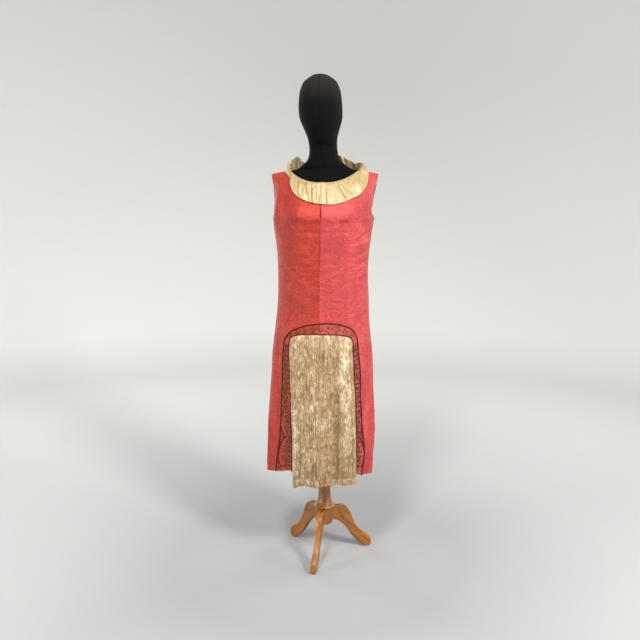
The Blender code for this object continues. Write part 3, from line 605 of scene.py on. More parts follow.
def archSteps(count):
    return np.sin(np.linspace(0, math.pi / 2, count + 1)) ** (2 / dress["archPower"])


def frontSteps():
    # shares from the centre seam to the opening's edge: close at both
    return np.union1d(archSteps(dress["innerSteps"]), dress["seamSteps"])


border = {
    "edgeGap": 1.6 * mm,
    "cusps": (0.602, 0.502, 0.374),
    "cuspShare": 0.46,
    "lobeShare": 0.985,
    "archFill": 0.5,
    "left": table("height across", (
        (0.362, 0.1512), (0.417, 0.1465), (0.460, 0.1425), (0.493, 0.1400), (0.530, 0.1402), (0.579, 0.1388), (0.626, 0.1380),
        (0.697, 0.1355), (0.767, 0.1326), (0.813, 0.1306), (0.845, 0.1273))),
    "right": table("height across", (
        (0.355, 0.1640), (0.400, 0.1680), (0.434, 0.1685), (0.462, 0.1655), (0.498, 0.1610), (0.560, 0.1560), (0.608, 0.1508),
        (0.655, 0.1484), (0.725, 0.1443), (0.771, 0.1411), (0.817, 0.1368), (0.862, 0.1325))),
    "top": table("across height", (
        (-0.1273, 0.845), (-0.1179, 0.8693), (-0.1034, 0.8870), (-0.0842, 0.8977), (-0.0566, 0.9083), (-0.0208, 0.9154),
        (0.0055, 0.9190), (0.0324, 0.9198), (0.0592, 0.9172), (0.0855, 0.9101), (0.1077, 0.8994), (0.1257, 0.8790),
        (0.1325, 0.862))),
}


def edgeAcross(z, side):
    return borderShare(z, side) * smooth(dress["sections"], "height", "halfWidth", z)


def outerAcross(z, side):
    return smooth(border["right" if side > 0 else "left"], "height", "across", z)


def lobeShare(z):
    # how far across the border the scalloped rim stands: the whole way above the first cusp
    high, middleCusp, low = border["cusps"]
    place = np.where(z > middleCusp, (high - z) / (high - middleCusp), (middleCusp - z) / (middleCusp - low))
    bulge = np.sqrt(np.clip(np.sin(math.pi * np.clip(place, 0, 1)), 0, 1))
    return np.where(z > high, 1.0, border["cuspShare"] + (border["lobeShare"] - border["cuspShare"]) * bulge)


def workedShare(x, z):
    # how thickly the side borders are filled with stitches, 0 to 1
    found = np.zeros(np.shape(x))
    for side in (-1, 1):
        edge, outer = edgeAcross(z, side), outerAcross(z, side)
        share = (np.abs(x) - edge) / (outer - edge)
        rim = lobeShare(z)
        below = np.where(z < border["cusps"][0], ramp((rim - 0.24 - share) / 0.08), 1)
        inside = ramp((rim - 0.06 - share) / 0.08) * below
        between = np.where(share > rim + 0.02, 1.3, 0)
        here = np.where((share > -0.1) & (share < 1) & (z < 0.862), np.maximum(inside, between), 0)
        found = np.where(np.sign(x) == side, here * (1.0 if side < 0 else 0.8), found)
    crown = np.interp(x, border["top"]["across"], border["top"]["height"])
    over = archHeight(np.clip(np.abs(x) / edgeAcross(z, 1), 0, 1))
    return np.where((z > over) & (z < crown) & (z > border["left"]["height"][-1]), border["archFill"], found)


# painted light and shade on the silk, pale streaks where creases catch the light and darker bands where shade falls:
# across, height, slant, half length, half width, and how much
paintedLightPatches = (
    (-0.104, 1.210, 90, 0.150, 0.017, -0.50), (0.046, 1.205, 0, 0.046, 0.050, -0.35),
    (-0.048, 1.215, 0, 0.046, 0.040, -0.25), (0.112, 1.190, 90, 0.110, 0.026, 0.30),
    (-0.024, 1.000, 0, 0.024, 0.045, -0.40), (0.034, 1.010, 0, 0.030, 0.050, -0.25),
    (-0.064, 0.950, 90, 0.036, 0.005, -0.60), (-0.046, 0.952, 92, 0.034, 0.005, -0.45),
    (-0.083, 0.956, 88, 0.040, 0.006, -0.50), (-0.108, 0.960, 86, 0.060, 0.008, -0.45),
    (0.022, 0.950, 90, 0.020, 0.006, -0.35), (0.086, 0.970, 94, 0.050, 0.007, -0.30),
    (-0.040, 1.132, -38, 0.040, 0.005, 0.45), (-0.032, 1.158, -54, 0.040, 0.005, 0.40),
    (0.034, 1.146, 34, 0.030, 0.005, 0.30), (-0.060, 1.192, -22, 0.036, 0.005, 0.35),
    (0.020, 1.232, 2, 0.070, 0.005, 0.35), (-0.070, 1.228, -3, 0.050, 0.005, 0.30),
    (-0.150, 1.160, 88, 0.140, 0.010, 0.40), (0.156, 0.620, 86, 0.140, 0.010, -0.40),
    (0.170, 0.560, 88, 0.120, 0.008, 0.40), (-0.165, 0.600, 88, 0.160, 0.010, 0.45),
    (-0.178, 0.480, 88, 0.120, 0.008, -0.30),
)


def paintedLightShare(x, z):
    # a painted highlight over the bust, in two soft cups, and painted light and shade elsewhere
    found = np.zeros(np.shape(x))
    for centre, half in dress["cups"]:
        away = (x - centre) / half
        low = dress["cupFoot"] + 0.030 * away**2
        cup = ramp((z - low) / 0.013) * ramp((1 - np.abs(away)) / 0.5) * ramp((dress["cupTop"] - z) / 0.05)
        found = np.maximum(found, cup)
    # the centre seam, with a painted highlight below and painted shade above
    seam = np.exp(-((x / 0.0022) ** 2)) * ramp((z - dress["seamFoot"]) / 0.02)
    return found + seam * (1.0 - 2.2 * ramp((z - 1.09) / 0.03)) + creased(x, z, paintedLightPatches) / mm


# creases, listed one by one: across from the middle, height, slant, half length, half width, and height in mm
frontCreases = (
    (0.056, 1.298, 0, 0.045, 0.024, 4.2), (-0.056, 1.296, 0, 0.050, 0.024, 4.2),
    (0.000, 1.262, 0, 0.090, 0.012, -0.9), (0.020, 1.232, 2, 0.080, 0.006, -0.8),
    (-0.050, 1.236, -3, 0.050, 0.005, -0.7), (0.034, 1.122, 3, 0.070, 0.005, -0.7),
    (-0.060, 1.118, -2, 0.060, 0.006, -0.7), (0.020, 1.118, 0, 0.120, 0.010, 0.5),
    (0.140, 1.215, 38, 0.030, 0.006, -1.6), (0.147, 1.196, 24, 0.026, 0.005, 1.3),
    (0.150, 1.165, 30, 0.030, 0.006, -1.4), (0.148, 1.128, 18, 0.026, 0.005, -1.2),
    (0.140, 1.085, 12, 0.034, 0.007, 1.0), (-0.148, 1.240, -62, 0.040, 0.007, -1.4),
    (-0.136, 1.300, 84, 0.075, 0.012, -2.0), (-0.158, 1.330, 80, 0.080, 0.010, 1.6),
    (-0.150, 1.150, -30, 0.030, 0.006, -1.0), (0.128, 1.330, -80, 0.070, 0.012, -1.4),
    (0.158, 1.345, -76, 0.060, 0.009, 0.6), (-0.100, 1.000, 88, 0.150, 0.010, -1.5),
    (-0.120, 0.930, 86, 0.160, 0.009, 1.5), (-0.074, 0.950, 92, 0.060, 0.008, -1.2),
    (-0.045, 0.960, 90, 0.050, 0.006, 0.9), (0.096, 1.010, 91, 0.120, 0.011, 1.0),
    (0.126, 0.960, 94, 0.130, 0.010, -1.4), (0.060, 0.985, 90, 0.050, 0.008, -0.7),
    (-0.157, 0.700, 88, 0.200, 0.008, -1.8), (-0.168, 0.560, 92, 0.120, 0.007, 1.8),
    (0.158, 0.560, 84, 0.110, 0.007, -2.4), (0.168, 0.500, 98, 0.090, 0.008, 2.2),
    (0.148, 0.780, 88, 0.090, 0.008, 1.4), (0.150, 0.660, 80, 0.070, 0.006, -1.2),
    (-0.148, 0.440, 84, 0.060, 0.007, 1.4), (0.030, 1.020, 32, 0.090, 0.009, -0.6),
    (-0.028, 1.050, -36, 0.090, 0.010, -0.6), (0.070, 1.180, -44, 0.050, 0.007, -0.6),
    (-0.080, 1.190, 40, 0.060, 0.007, -0.6), (-0.010, 0.940, 4, 0.050, 0.006, -0.6),
    (0.104, 1.150, 60, 0.060, 0.009, 0.6),
)
backCreases = (
    (0.060, 1.330, 60, 0.070, 0.012, -1.5), (-0.066, 1.320, -58, 0.070, 0.012, -1.5),
    (0.000, 1.370, 0, 0.070, 0.008, -1.0), (0.020, 1.200, 3, 0.100, 0.008, -1.2),
    (-0.030, 1.160, -4, 0.100, 0.007, -1.2), (0.060, 1.110, 8, 0.060, 0.006, 1.0),
    (-0.060, 1.080, -10, 0.070, 0.008, -1.2), (0.130, 1.180, 34, 0.040, 0.007, -1.6),
    (-0.134, 1.200, -36, 0.040, 0.007, -1.6), (0.030, 1.010, 90, 0.140, 0.012, 1.2),
    (-0.050, 0.960, 92, 0.160, 0.011, -1.6), (0.090, 0.920, 86, 0.150, 0.010, -1.6),
    (-0.110, 0.860, 94, 0.150, 0.010, 1.6), (0.000, 0.700, 90, 0.180, 0.012, -1.4),
    (0.130, 0.700, 88, 0.160, 0.009, 1.8), (-0.150, 0.600, 88, 0.140, 0.009, -1.8),
    (0.060, 0.560, 93, 0.110, 0.010, 1.2), (-0.070, 0.520, 88, 0.110, 0.010, 1.4),
)


def dressRelief(points, front):
    # the creases, and the uneven hang of soft silk
    x, z = points[..., 0] - lean(points[..., 2]), points[..., 2]
    push = dress["creaseShare"] * creased(x, z, frontCreases if front else backCreases)
    seed = 11 if front else 12
    push = push + dress["unevenMm"] * mm * softNoise(x * 21 + 40, z * 6 + 20, seed)
    push = push + dress["rippleMm"] * mm * softNoise(x * 58 + 9, z * 36 + 7, seed + 2)
    lines = crumple(x * 17 + z * 5 + 31, z * 13 - x * 6 + 12, seed + 4)
    lines = lines + 0.7 * crumple(x * 30 - z * 9 + 11, z * 24 + x * 9 + 5, seed + 6)
    push = push + dress["crumpleMm"] * mm * lines * (0.6 + 0.4 * softNoise(x * 8 + 2, z * 8 + 2, seed + 8))
    if front:  # the centre seam is pressed in above the bust line and stands up below it
        rise = 0.9 - 1.9 * ramp((z - dress["seamPressed"]) / 0.04)
        push = push + mm * rise * np.exp(-((x / 0.0045) ** 2)) * ramp((z - dress["seamFoot"]) / 0.05)
    return push


def frontEase(points, side):
    # 0 at the seams, the opening, the shoulder and the neck, and 1 well inside the piece
    z = points[..., 2]
    x, y = np.abs(points[..., 0] - lean(z)), points[..., 1]
    edge, above = edgeAcross(z, side), z - dress["archSpring"]
    share = np.clip(x / edge, 0, 1)
    opening = np.where(share < 1, z - archHeight(share), np.where(above < 0, x - edge, np.hypot(x - edge, above)))
    neck = (np.hypot(x / dress["neckHalfWidth"], (y - dress["seamY"]) / dress["neckFront"]) - 1) * 0.1
    seam = np.where((z > dress["archSpring"]) & (share < 1), x, 1)
    away = np.minimum(np.minimum(np.abs(opening), np.abs(y)), np.minimum(ridgeHeight(x) - z, seam * 5))
    return ramp(away / dress["easeWidth"]) * np.where(z > dress["underarm"], ramp(neck / 0.05 + 0.15), 1)


def collarEase(points):
    # ridges fade out under the collar, which lies on the silk there
    x, y = points[..., 0] - lean(points[..., 2]), points[..., 1] - dress["seamY"]
    beyond = np.hypot(x / dress["neckHalfWidth"], y / dress["neckFront"]) - 1
    return 1 - (1 - ramp(beyond / 0.45 - 0.30)) * ramp((points[..., 2] - dress["underarm"]) / 0.06)


def edgeEase(points, edges):
    # 0 at the edges of a piece and 1 well inside them, so that seams stay shut
    away = np.min([np.linalg.norm(points - e, axis=-1) for e in edges], axis=0)
    return ramp(away / dress["easeWidth"])


def seamTurn(face):
    # the turn at which a face ends, half a seam's gap short of the side
    return math.acos((dress["seamGap"] / 2 / dress["sections"][face][-1]) ** (dress["squareness"] / 2))


def frontHalf(name, side):
    upper, middleCount, lower = dress["upperRows"], dress["middleRows"], dress["lowerRows"]
    steps = frontSteps()
    inner, outer = len(steps) - 1, dress["outerSteps"]
    rows, columns = upper + middleCount + lower + 1, inner + outer + 1
    turn, level = np.zeros((rows, columns)), np.zeros((rows, columns))
    arch = archHeight(steps)
    centreTurn = turnOf(np.array(dress["seamGap"] / 2 / dress["sections"]["halfWidth"][-1]))
    sideTurn = seamTurn("front")

    def turnAt(j, height):
        edge = borderShare(height, side)
        if j <= inner:
            return np.maximum(turnOf(steps[j] * edge), centreTurn)
        start = turnOf(edge)
        return start + (sideTurn - start) * (j - inner) / outer

    for j in range(columns):
        top = turnAt(j, np.array(dress["underarm"]))
        turn[:upper + 1, j] = top
        level[:upper + 1, j] = clothTop(top) * np.linspace(1, 0, upper + 1)
        bottom = arch[j] if j <= inner else dress["archSpring"]
        heights = np.linspace(dress["underarm"], bottom, middleCount + 1)[1:]
        turn[upper + 1:upper + middleCount + 1, j] = turnAt(j, heights)
        level[upper + 1:upper + middleCount + 1, j] = heights - dress["underarm"]
        hem = hemHeight(side * turnAt(j, np.array(dress["hemSide"])))
        heights = np.linspace(dress["archSpring"], hem, lower + 1)[1:]
        turn[upper + middleCount + 1:, j] = turnAt(j, heights)
        level[upper + middleCount + 1:, j] = heights - dress["underarm"]
    cells = np.ones((rows - 1, columns - 1), bool)
    cells[upper + middleCount:, :inner] = False
    face = dressPoint(side * turn, level)
    turnRange = (0, math.pi / 2) if side > 0 else (-math.pi / 2, 0)
    normal = normalsOf(dressPoint, side * turn, level, turnRange, (-dress["underarm"], math.pi / 2))
    across = face[..., 0] - lean(face[..., 2])
    shades = {"worked": workedShare(across, face[..., 2]), "faded": paintedLightShare(across, face[..., 2])}
    lift = dressRelief(face, True) * frontEase(face, side)
    face = face + normal * np.where(lift > 0, lift * collarEase(face), lift)[..., None]
    made = clothWall(name, face, face - dress["wall"] * normal, cells, shades=shades)
    return made, face, normal


def dressBack():
    neckTurn = float(turnOf(np.array(dress["neckHalfWidth"] / dress["tipX"])))
    sideTurn = seamTurn("back")
    half = np.concatenate([np.linspace(sideTurn, neckTurn, 37), np.linspace(neckTurn, 0, 33)[1:]])
    turns = np.concatenate([math.pi - half, math.pi + half[-2::-1]])
    top = clothTop(turns)
    upper = np.linspace(1, 0, 33)[:, None] * top
    lower = np.linspace(0, 1, 113)[1:, None] * (hemHeight(turns) - dress["underarm"])
    level = np.concatenate([upper, lower])
    turn = np.broadcast_to(turns, level.shape)
    face = dressPoint(turn, level)
    turnRange = (math.pi / 2 + 1e-4, 3 * math.pi / 2 - 1e-4)
    normal = normalsOf(dressPoint, turn, level, turnRange, (-dress["underarm"], math.pi / 2))
    ease = edgeEase(face, [face[:, :1], face[:, -1:], face[:1, :]])
    face = face + normal * (dressRelief(face, False) * ease)[..., None]
    return clothWall("dressBack", face, face - dress["wall"] * normal), face, normal


frontRight, rightFace, rightNormal = frontHalf("dressFrontRight", 1)
frontLeft, leftFace, leftNormal = frontHalf("dressFrontLeft", -1)
back, backFace, backNormal = dressBack()
for piece, material in ((frontRight, coralRight), (frontLeft, coralLeft), (back, coralBack)):
    finished(piece, material)
print("dress made")


# the crinkled panel in the arch
panel = {
    "wall": 0.7 * mm,
    "top": 0.88,
    "hem": 0.325,
    "hemDrop": 0.010,
    "pleats": 20,
    "pleatDepth": 0.9 * mm,
    "belly": 6.0 * mm,
    "edgeShare": 0.06,
    "topEase": 0.05,
    "folds": ((-0.62, 0.10, -2.5, 0.80), (-0.36, 0.10, 3.0, 0.86), (-0.10, 0.12, -2.0, 0.74),
              (0.20, 0.10, 2.5, 0.86), (0.50, 0.055, -5.0, 0.70), (0.66, 0.12, 2.5, 0.86)),  # across, spread, mm, top
    "crinkles": 58,
    "crinkleDepth": 0.6 * mm,
    "blisterDepth": 0.9 * mm,
    "brokenDepth": 2.0 * mm,
    "bandHeight": 0.025,
    "columns": 330,
    "rows": 124,
    "hemSteps": table("across lift", (
        (-1.0, -0.001), (-0.84, -0.001), (-0.70, 0.003), (-0.26, 0.004), (-0.14, -0.001), (0.05, -0.001), (0.16, 0.006),
        (0.45, 0.007), (0.75, 0.009), (1.0, 0.009))),
}
panelCreases = (  # across as a share, height, slant, half length, half width, mm
    (-0.40, 0.705, 0, 0.40, 0.004, 1.1), (-0.20, 0.700, 2, 0.60, 0.004, -0.9),
    (0.30, 0.698, 0, 0.60, 0.004, 0.8), (-0.10, 0.478, 0, 0.30, 0.0045, 1.3),
    (-0.35, 0.472, -1, 0.30, 0.004, -0.9), (0.35, 0.470, 1, 0.40, 0.004, 0.7),
    (0.10, 0.800, 0, 0.80, 0.005, -0.5), (-0.50, 0.760, 0, 0.20, 0.004, 0.8),
    (0.05, 0.630, -1, 0.50, 0.004, 0.6), (0.40, 0.590, 1, 0.30, 0.004, -0.7),
    (-0.55, 0.560, 0, 0.30, 0.004, 0.7), (-0.14, 0.560, -8, 0.16, 0.005, 1.2),
)
panelFolds = (  # across at the top and at the hem, half width, mm, and the heights it fades between
    (0.56, 0.50, 0.045, -2.6, 0.86, 0.30), (0.74, 0.70, 0.090, 2.6, 0.87, 0.30),
    (-0.34, -0.42, 0.045, -1.8, 0.72, 0.44), (-0.50, -0.55, 0.060, 1.5, 0.80, 0.30),
    (0.22, 0.20, 0.050, 1.5, 0.80, 0.36), (0.06, 0.10, 0.030, -1.4, 0.66, 0.30),
    (-0.20, -0.05, 0.035, 1.6, 0.56, 0.33), (-0.72, -0.66, 0.030, -1.6, 0.50, 0.30),
    (0.36, 0.40, 0.030, -1.2, 0.60, 0.30), (0.88, 0.86, 0.035, -1.6, 0.70, 0.30),
    (-0.86, -0.84, 0.040, 1.4, 0.66, 0.30),
)
panelPaintedLight = (  # painted highlights and shade down the panel's folds: across at the top and at the hem, half width, strength, and the heights it fades between
    (0.66, 0.74, 0.16, 0.9, 0.88, 0.52), (0.47, 0.55, 0.10, -0.8, 0.87, 0.34),
    (-0.80, -0.84, 0.20, 0.6, 0.66, 0.36), (-0.10, -0.05, 0.22, 0.35, 0.70, 0.46),
    (-0.45, -0.45, 0.14, -0.35, 0.90, 0.60), (0.10, 0.12, 0.20, -0.35, 0.90, 0.70),
    (-0.35, -0.30, 0.10, 0.4, 0.50, 0.38), (0.85, 0.88, 0.10, 0.5, 0.60, 0.40),
)


def slanting(share, height, rows, fadeTop, fadeFoot):
    # soft bands that run down the panel, each with its own slant and strength
    found = np.zeros(np.shape(share))
    along = np.clip((panel["top"] - height) / (panel["top"] - panel["hem"]), 0, 1)
    for high, low, width, strength, top, bottom in rows:
        fade = ramp((top - height) / fadeTop) * ramp((height - bottom) / fadeFoot)
        found = found + strength * fade * np.exp(-(((share - high - (low - high) * along) / width) ** 2))
    return found


# random tone on the panel, with painted highlights and shade along its folds
def panelToneAndPaintedLight(share, height):
    return 0.25 * softNoise(share * 4 + 2, height * 12 + 3, 45) + slanting(share, height, panelPaintedLight, 0.08, 0.08)


def panelPoint(share, drop):
    side = np.where(share < 0, -1.0, 1.0)
    reach = np.abs(share)
    steps = archSteps(40)
    top = np.interp(reach, steps, archHeight(steps)) - dress["seamGap"]
    hem = panel["hem"] - panel["hemDrop"] * share**2
    height = top + (hem - top) * drop
    eased = 1 - dress["seamGap"] / dress["opening"]["halfWidth"][0]
    turn = side * turnOf(reach * eased * borderShare(height, side))
    base = bodyPoint(turn, height)
    warped = share + 0.035 * np.sin(4.1 * share + 0.7) + 0.018 * np.sin(11.3 * share + 2.0)
    depth = panel["pleatDepth"] * (0.8 + 0.3 * np.sin(7.0 * share + 1.0))
    push = depth * (1 + np.cos(math.pi * panel["pleats"] * warped))
    for at, spread, rise, foldTop in panel["folds"]:
        opened = ramp((foldTop - height) / (foldTop - panel["hem"]))
        push = push + rise * mm * opened * np.exp(-(((share - at) / spread) ** 2))
    fall = ramp((dress["archSpring"] + dress["archRise"] - height) / (dress["archSpring"] - panel["hem"]))
    push = push + panel["belly"] * (1 - share**2) * (0.4 + 0.6 * fall)
    push = push * ramp((1 - reach) / panel["edgeShare"]) * ramp((top - height) / panel["topEase"])
    facing = unit(np.stack([0.35 * share, -np.ones(np.shape(share)), np.zeros(np.shape(share))], axis=-1))
    return base + facing * push[..., None]


def panelRelief(share, height):
    # the crushed finish of the cloth: broken little pleats, blisters and a few pressed lines across
    wander = 0.55 * softNoise(share * 5 + 3, height * 9, 31) + 0.35 * softNoise(share * 16 + 8, height * 30, 32)
    crinkle = np.cos(2 * math.pi * (panel["crinkles"] / 2 * share + wander))
    strength = 0.55 + 0.45 * softNoise(share * 14 + 2, height * 26 + 5, 33)
    blister = softNoise(share * 52 + 4, height * 85 + 9, 34) + 0.7 * softNoise(share * 30 + 1, height * 150 + 2, 35)
    broken = crumple(share * 9 + 3, height * 17 + 4, 37)
    broken = broken + crumple(share * 14 + height * 8, height * 26 - share * 5 + 6, 38)
    push = panel["crinkleDepth"] * crinkle * strength + panel["blisterDepth"] * blister + panel["brokenDepth"] * broken
    push = push + 1.4 * mm * softNoise(share * 6 + 7, height * 8 + 1, 39)
    push = push + 1.2 * mm * softNoise(share * 15 + 3, height * 30 + 6, 40)
    push = push + slanting(share, height, panelFolds, 0.06, 0.04) * mm
    return push + 1.5 * creased(share, height, panelCreases) * (0.7 + 0.6 * softNoise(share * 20, height * 20, 36))


def lamePanel():
    share, drop = np.broadcast_arrays(
        np.linspace(-1, 1, panel["columns"] + 1)[None, :], (np.linspace(0, 1, panel["rows"] + 1) ** 1.1)[:, None])
    face = panelPoint(share, drop)
    face[..., 2] += smooth(panel["hemSteps"], "across", "lift", share) * ramp((drop - 0.9) / 0.1)
    normal = normalsOf(panelPoint, share, drop, (-1, 1), (0, 1))
    normal = np.where(normal[..., 1:2] > 0, -normal, normal)
    ease = edgeEase(face, [face[:, :1], face[:, -1:], face[:1, :]])
    above = face[..., 2] - face[-1:, :, 2]
    above = above - panel["bandHeight"]  # the hem is turned up twice, with a groove at its top
    doubled = 0.5 * ramp(-above / 0.004) - np.exp(-((above / 0.003) ** 2))
    face = face + normal * ((panelRelief(share, face[..., 2]) + (0.4 + doubled) * mm) * ease)[..., None]
    shades = {"faded": panelToneAndPaintedLight(share, face[..., 2])}
    return clothWall("lamePanel", face, face - panel["wall"] * normal, shades=shades), face, normal


lame, lameFace, lameNormal = lamePanel()
finished(lame, goldLame)
print("panel made")


# one band that lies on the chest and stands behind the neck
collar = {
    "wall": 0.8 * mm,
    "clear": 1.8 * mm,
    "pleats": 22,
    "pleatBase": 0.5 * mm,
    "pleatRim": 2.6 * mm,
    "fullness": 2.1 * mm,
    "creaseShare": 1.9,
    "sections": table("turn stand rimX rimY rimHeight rise", (
        (-180, 1.0, 0.000, 0.086, 1.490, 0.000), (-164, 1.0, -0.042, 0.084, 1.481, 0.002),
        (-148, 1.0, -0.075, 0.077, 1.472, 0.004), (-125, 1.0, -0.103, 0.054, 1.492, 0.000),
        (-101, 1.0, -0.126, 0.014, 1.467, 0.010), (-85, 0.8, -0.133, -0.024, 1.438, 0.016),
        (-72, 0.1, -0.115, -0.066, 1.414, 0.006), (-62, 0.0, -0.110, -0.084, 1.390, 0.000),
        (-50, 0.0, -0.096, -0.098, 1.367, 0.000), (-25, 0.0, -0.050, -0.122, 1.340, 0.000),
        (0, 0.0, 0.000, -0.128, 1.330, 0.000), (28, 0.0, 0.060, -0.120, 1.332, 0.000),
        (43, 0.0, 0.094, -0.104, 1.345, 0.000), (60, 0.0, 0.132, -0.080, 1.367, 0.002),
        (75, 0.3, 0.152, -0.054, 1.406, 0.010), (89, 0.9, 0.148, -0.020, 1.445, 0.018),
        (106, 1.0, 0.124, 0.018, 1.467, 0.012), (122, 1.0, 0.099, 0.044, 1.474, 0.006),
        (155, 1.0, 0.046, 0.076, 1.498, 0.000), (180, 1.0, 0.000, 0.086, 1.490, 0.000),
    )),
    "columns": 520,
    "rows": 34,
}


# turn at the neck and at the rim, half width in degrees, mm, and where along its width it begins and ends
collarCreases = (
    (5, 8, 0.9, -1.1, 0.2, 1.0), (11, 15, 0.9, -0.9, 0.1, 0.9), (-10, -9, 0.9, -0.9, 0.0, 1.0),
    (-19, -16, 1.0, -1.4, 0.0, 1.0), (-30, -24, 1.4, -1.9, 0.0, 0.75), (-26, -20, 2.0, 1.4, 0.0, 0.8),
    (-3, -4, 1.3, -1.3, 0.0, 1.0), (3, 7, 1.0, -0.9, 0.0, 0.8), (8, 11, 1.0, 0.9, 0.1, 1.0),
    (0, 2, 1.0, 0.8, 0.2, 1.0), (20, 38, 1.2, -2.4, 0.0, 1.0), (25, 43, 2.2, 1.7, 0.0, 1.0),
    (29, 50, 1.2, -2.3, 0.0, 1.0), (-44, -46, 3.0, -2.0, 0.0, 0.7), (-40, -39, 2.4, 1.5, 0.2, 1.0),
    (-14, -13, 2.0, 1.0, 0.3, 1.1), (58, 60, 3.0, 1.6, 0.3, 1.1), (66, 72, 3.0, -2.4, 0.0, 0.9),
    (76, 84, 3.5, 2.2, 0.1, 1.1), (-60, -58, 3.0, 1.8, 0.2, 1.1), (-78, -72, 3.6, -2.4, 0.0, 1.0),
    (-96, -98, 4.0, 2.6, 0.1, 1.1), (-112, -108, 3.0, -2.8, 0.0, 1.1), (-128, -130, 4.0, 2.2, 0.1, 1.1),
    (98, 96, 4.0, -2.6, 0.0, 1.0), (112, 116, 3.6, 2.4, 0.1, 1.1), (126, 124, 3.0, -2.4, 0.0, 1.1),
    (144, 148, 4.0, 2.0, 0.1, 1.1), (160, 158, 4.0, -1.8, 0.0, 1.0), (-146, -142, 4.0, -2.2, 0.0, 1.0),
    (-164, -166, 4.0, 1.8, 0.1, 1.1), (178, 178, 4.0, 1.4, 0.1, 1.1),
)


def collarRelief(turn, out):
    degrees = np.degrees(turn)
    push = 0.35 * mm * softNoise(degrees * 0.30 + 60, out * 5, 51)
    push = push + 0.3 * mm * crumple(degrees * 0.14 + 40 + out * 2, out * 5 + degrees * 0.03, 52)
    for neck, rim, width, rise, start, end in collarCreases:
        away = (degrees - neck - (rim - neck) * out + 180) % 360 - 180
        fade = ramp((out - start) / 0.25 + 0.25) * ramp((end - out) / 0.25)
        push = push + rise * mm * fade * np.exp(-((away / width) ** 2))
    return push


def surfaceY(x, z):
    rise = np.clip((z - dress["underarm"]) / (ridgeHeight(x) - dress["underarm"]), 0, 1)
    share = np.abs(x) / smooth(dress["armhole"], "turn", "section", np.degrees(np.arcsin(rise)))
    depth = dress["sections"]["front"][-1]
    return dress["seamY"] - (depth * sectionDepth(share) + dress["seamY"]) * np.sqrt(1 - rise**2)


def necklinePoint(turn):
    front = np.cos(turn) > 0
    x = dress["neckHalfWidth"] * np.sin(turn)
    reach = np.where(front, dress["neckFront"], dress["neckBack"]) * np.abs(np.cos(turn))
    frontY, backY = dress["sections"]["front"][-1] + dress["seamY"], dress["sections"]["back"][-1] - dress["seamY"]
    depth = np.where(front, frontY, backY) * sectionDepth(np.abs(x) / dress["armhole"]["section"][-2])
    lift = np.sqrt(np.clip(1 - (reach / depth) ** 2, 0, 1))
    z = dress["underarm"] + (ridgeHeight(x) - dress["underarm"]) * lift
    return x, dress["seamY"] + np.where(front, -reach, reach), z


def collarPoint(turn, out):
    degrees = (np.degrees(turn) + 180) % 360 - 180
    stand, rimX, rimY, rimZ, rise = (
        smooth(collar["sections"], "turn", c, degrees) for c in ("stand", "rimX", "rimY", "rimHeight", "rise"))
    stand = np.clip(stand, 0, 1)[..., None]
    x, y, z = necklinePoint(turn)
    pleat = collar["pleatBase"] + (collar["pleatRim"] - collar["pleatBase"]) * out
    phase = collar["pleats"] * turn + 1.1 * np.sin(2 * turn + 0.6) + 0.8 * np.sin(5 * turn)
    wave = pleat * (0.5 + 0.5 * np.cos(phase)) * (0.75 + 0.25 * np.sin(3 * turn + 1))

    path = np.stack([rimX - x, rimY - y, rimZ - z], axis=-1)
    along = np.stack([np.cos(turn), np.sin(turn), np.zeros(np.shape(turn))], axis=-1)
    standing = np.stack([x, y, z + collar["clear"] + 4 * rise * out * (1 - out)], axis=-1)
    standing = standing + path * out[..., None] + unit(np.cross(path, along)) * wave[..., None]

    flatX, flatZ = x + (rimX - x) * out, z + (rimZ - z) * out
    step = 0.5 * mm
    slopeX = surfaceY(flatX + step, flatZ) - surfaceY(flatX - step, flatZ)
    slopeZ = surfaceY(flatX, flatZ + step) - surfaceY(flatX, flatZ - step)
    up = unit(np.stack([slopeX, np.full(np.shape(slopeX), -2 * step), slopeZ], axis=-1))
    lying = np.stack([flatX, surfaceY(flatX, flatZ), flatZ], axis=-1) + up * (collar["clear"] + wave)[..., None]
    point = lying * (1 - stand) + standing * stand
    point[..., 0] += lean(point[..., 2])
    return point


def collarBand():
    turns = np.linspace(-math.pi, math.pi, collar["columns"], endpoint=False)
    turn, out = np.broadcast_arrays(turns[None, :], np.linspace(0, 1, collar["rows"] + 1)[:, None])
    face = collarPoint(turn, out)
    normal = normalsOf(collarPoint, turn, out, (-7, 7), (0, 1))
    if normal[0, collar["columns"] // 2, 1] > 0:
        normal = -normal
    lift = collar["fullness"] + collar["creaseShare"] * collarRelief(turn, out)
    lift = np.maximum(lift, -0.2 * mm) * ramp(out / 0.12)  # troughs stay clear of the silk underneath
    face = face + normal * lift[..., None]
    return clothWall("collarBand", face, face - collar["wall"] * normal, closed=True), face, normal


band, bandFace, bandNormal = collarBand()
finished(band, creamLame)
print("collar made")


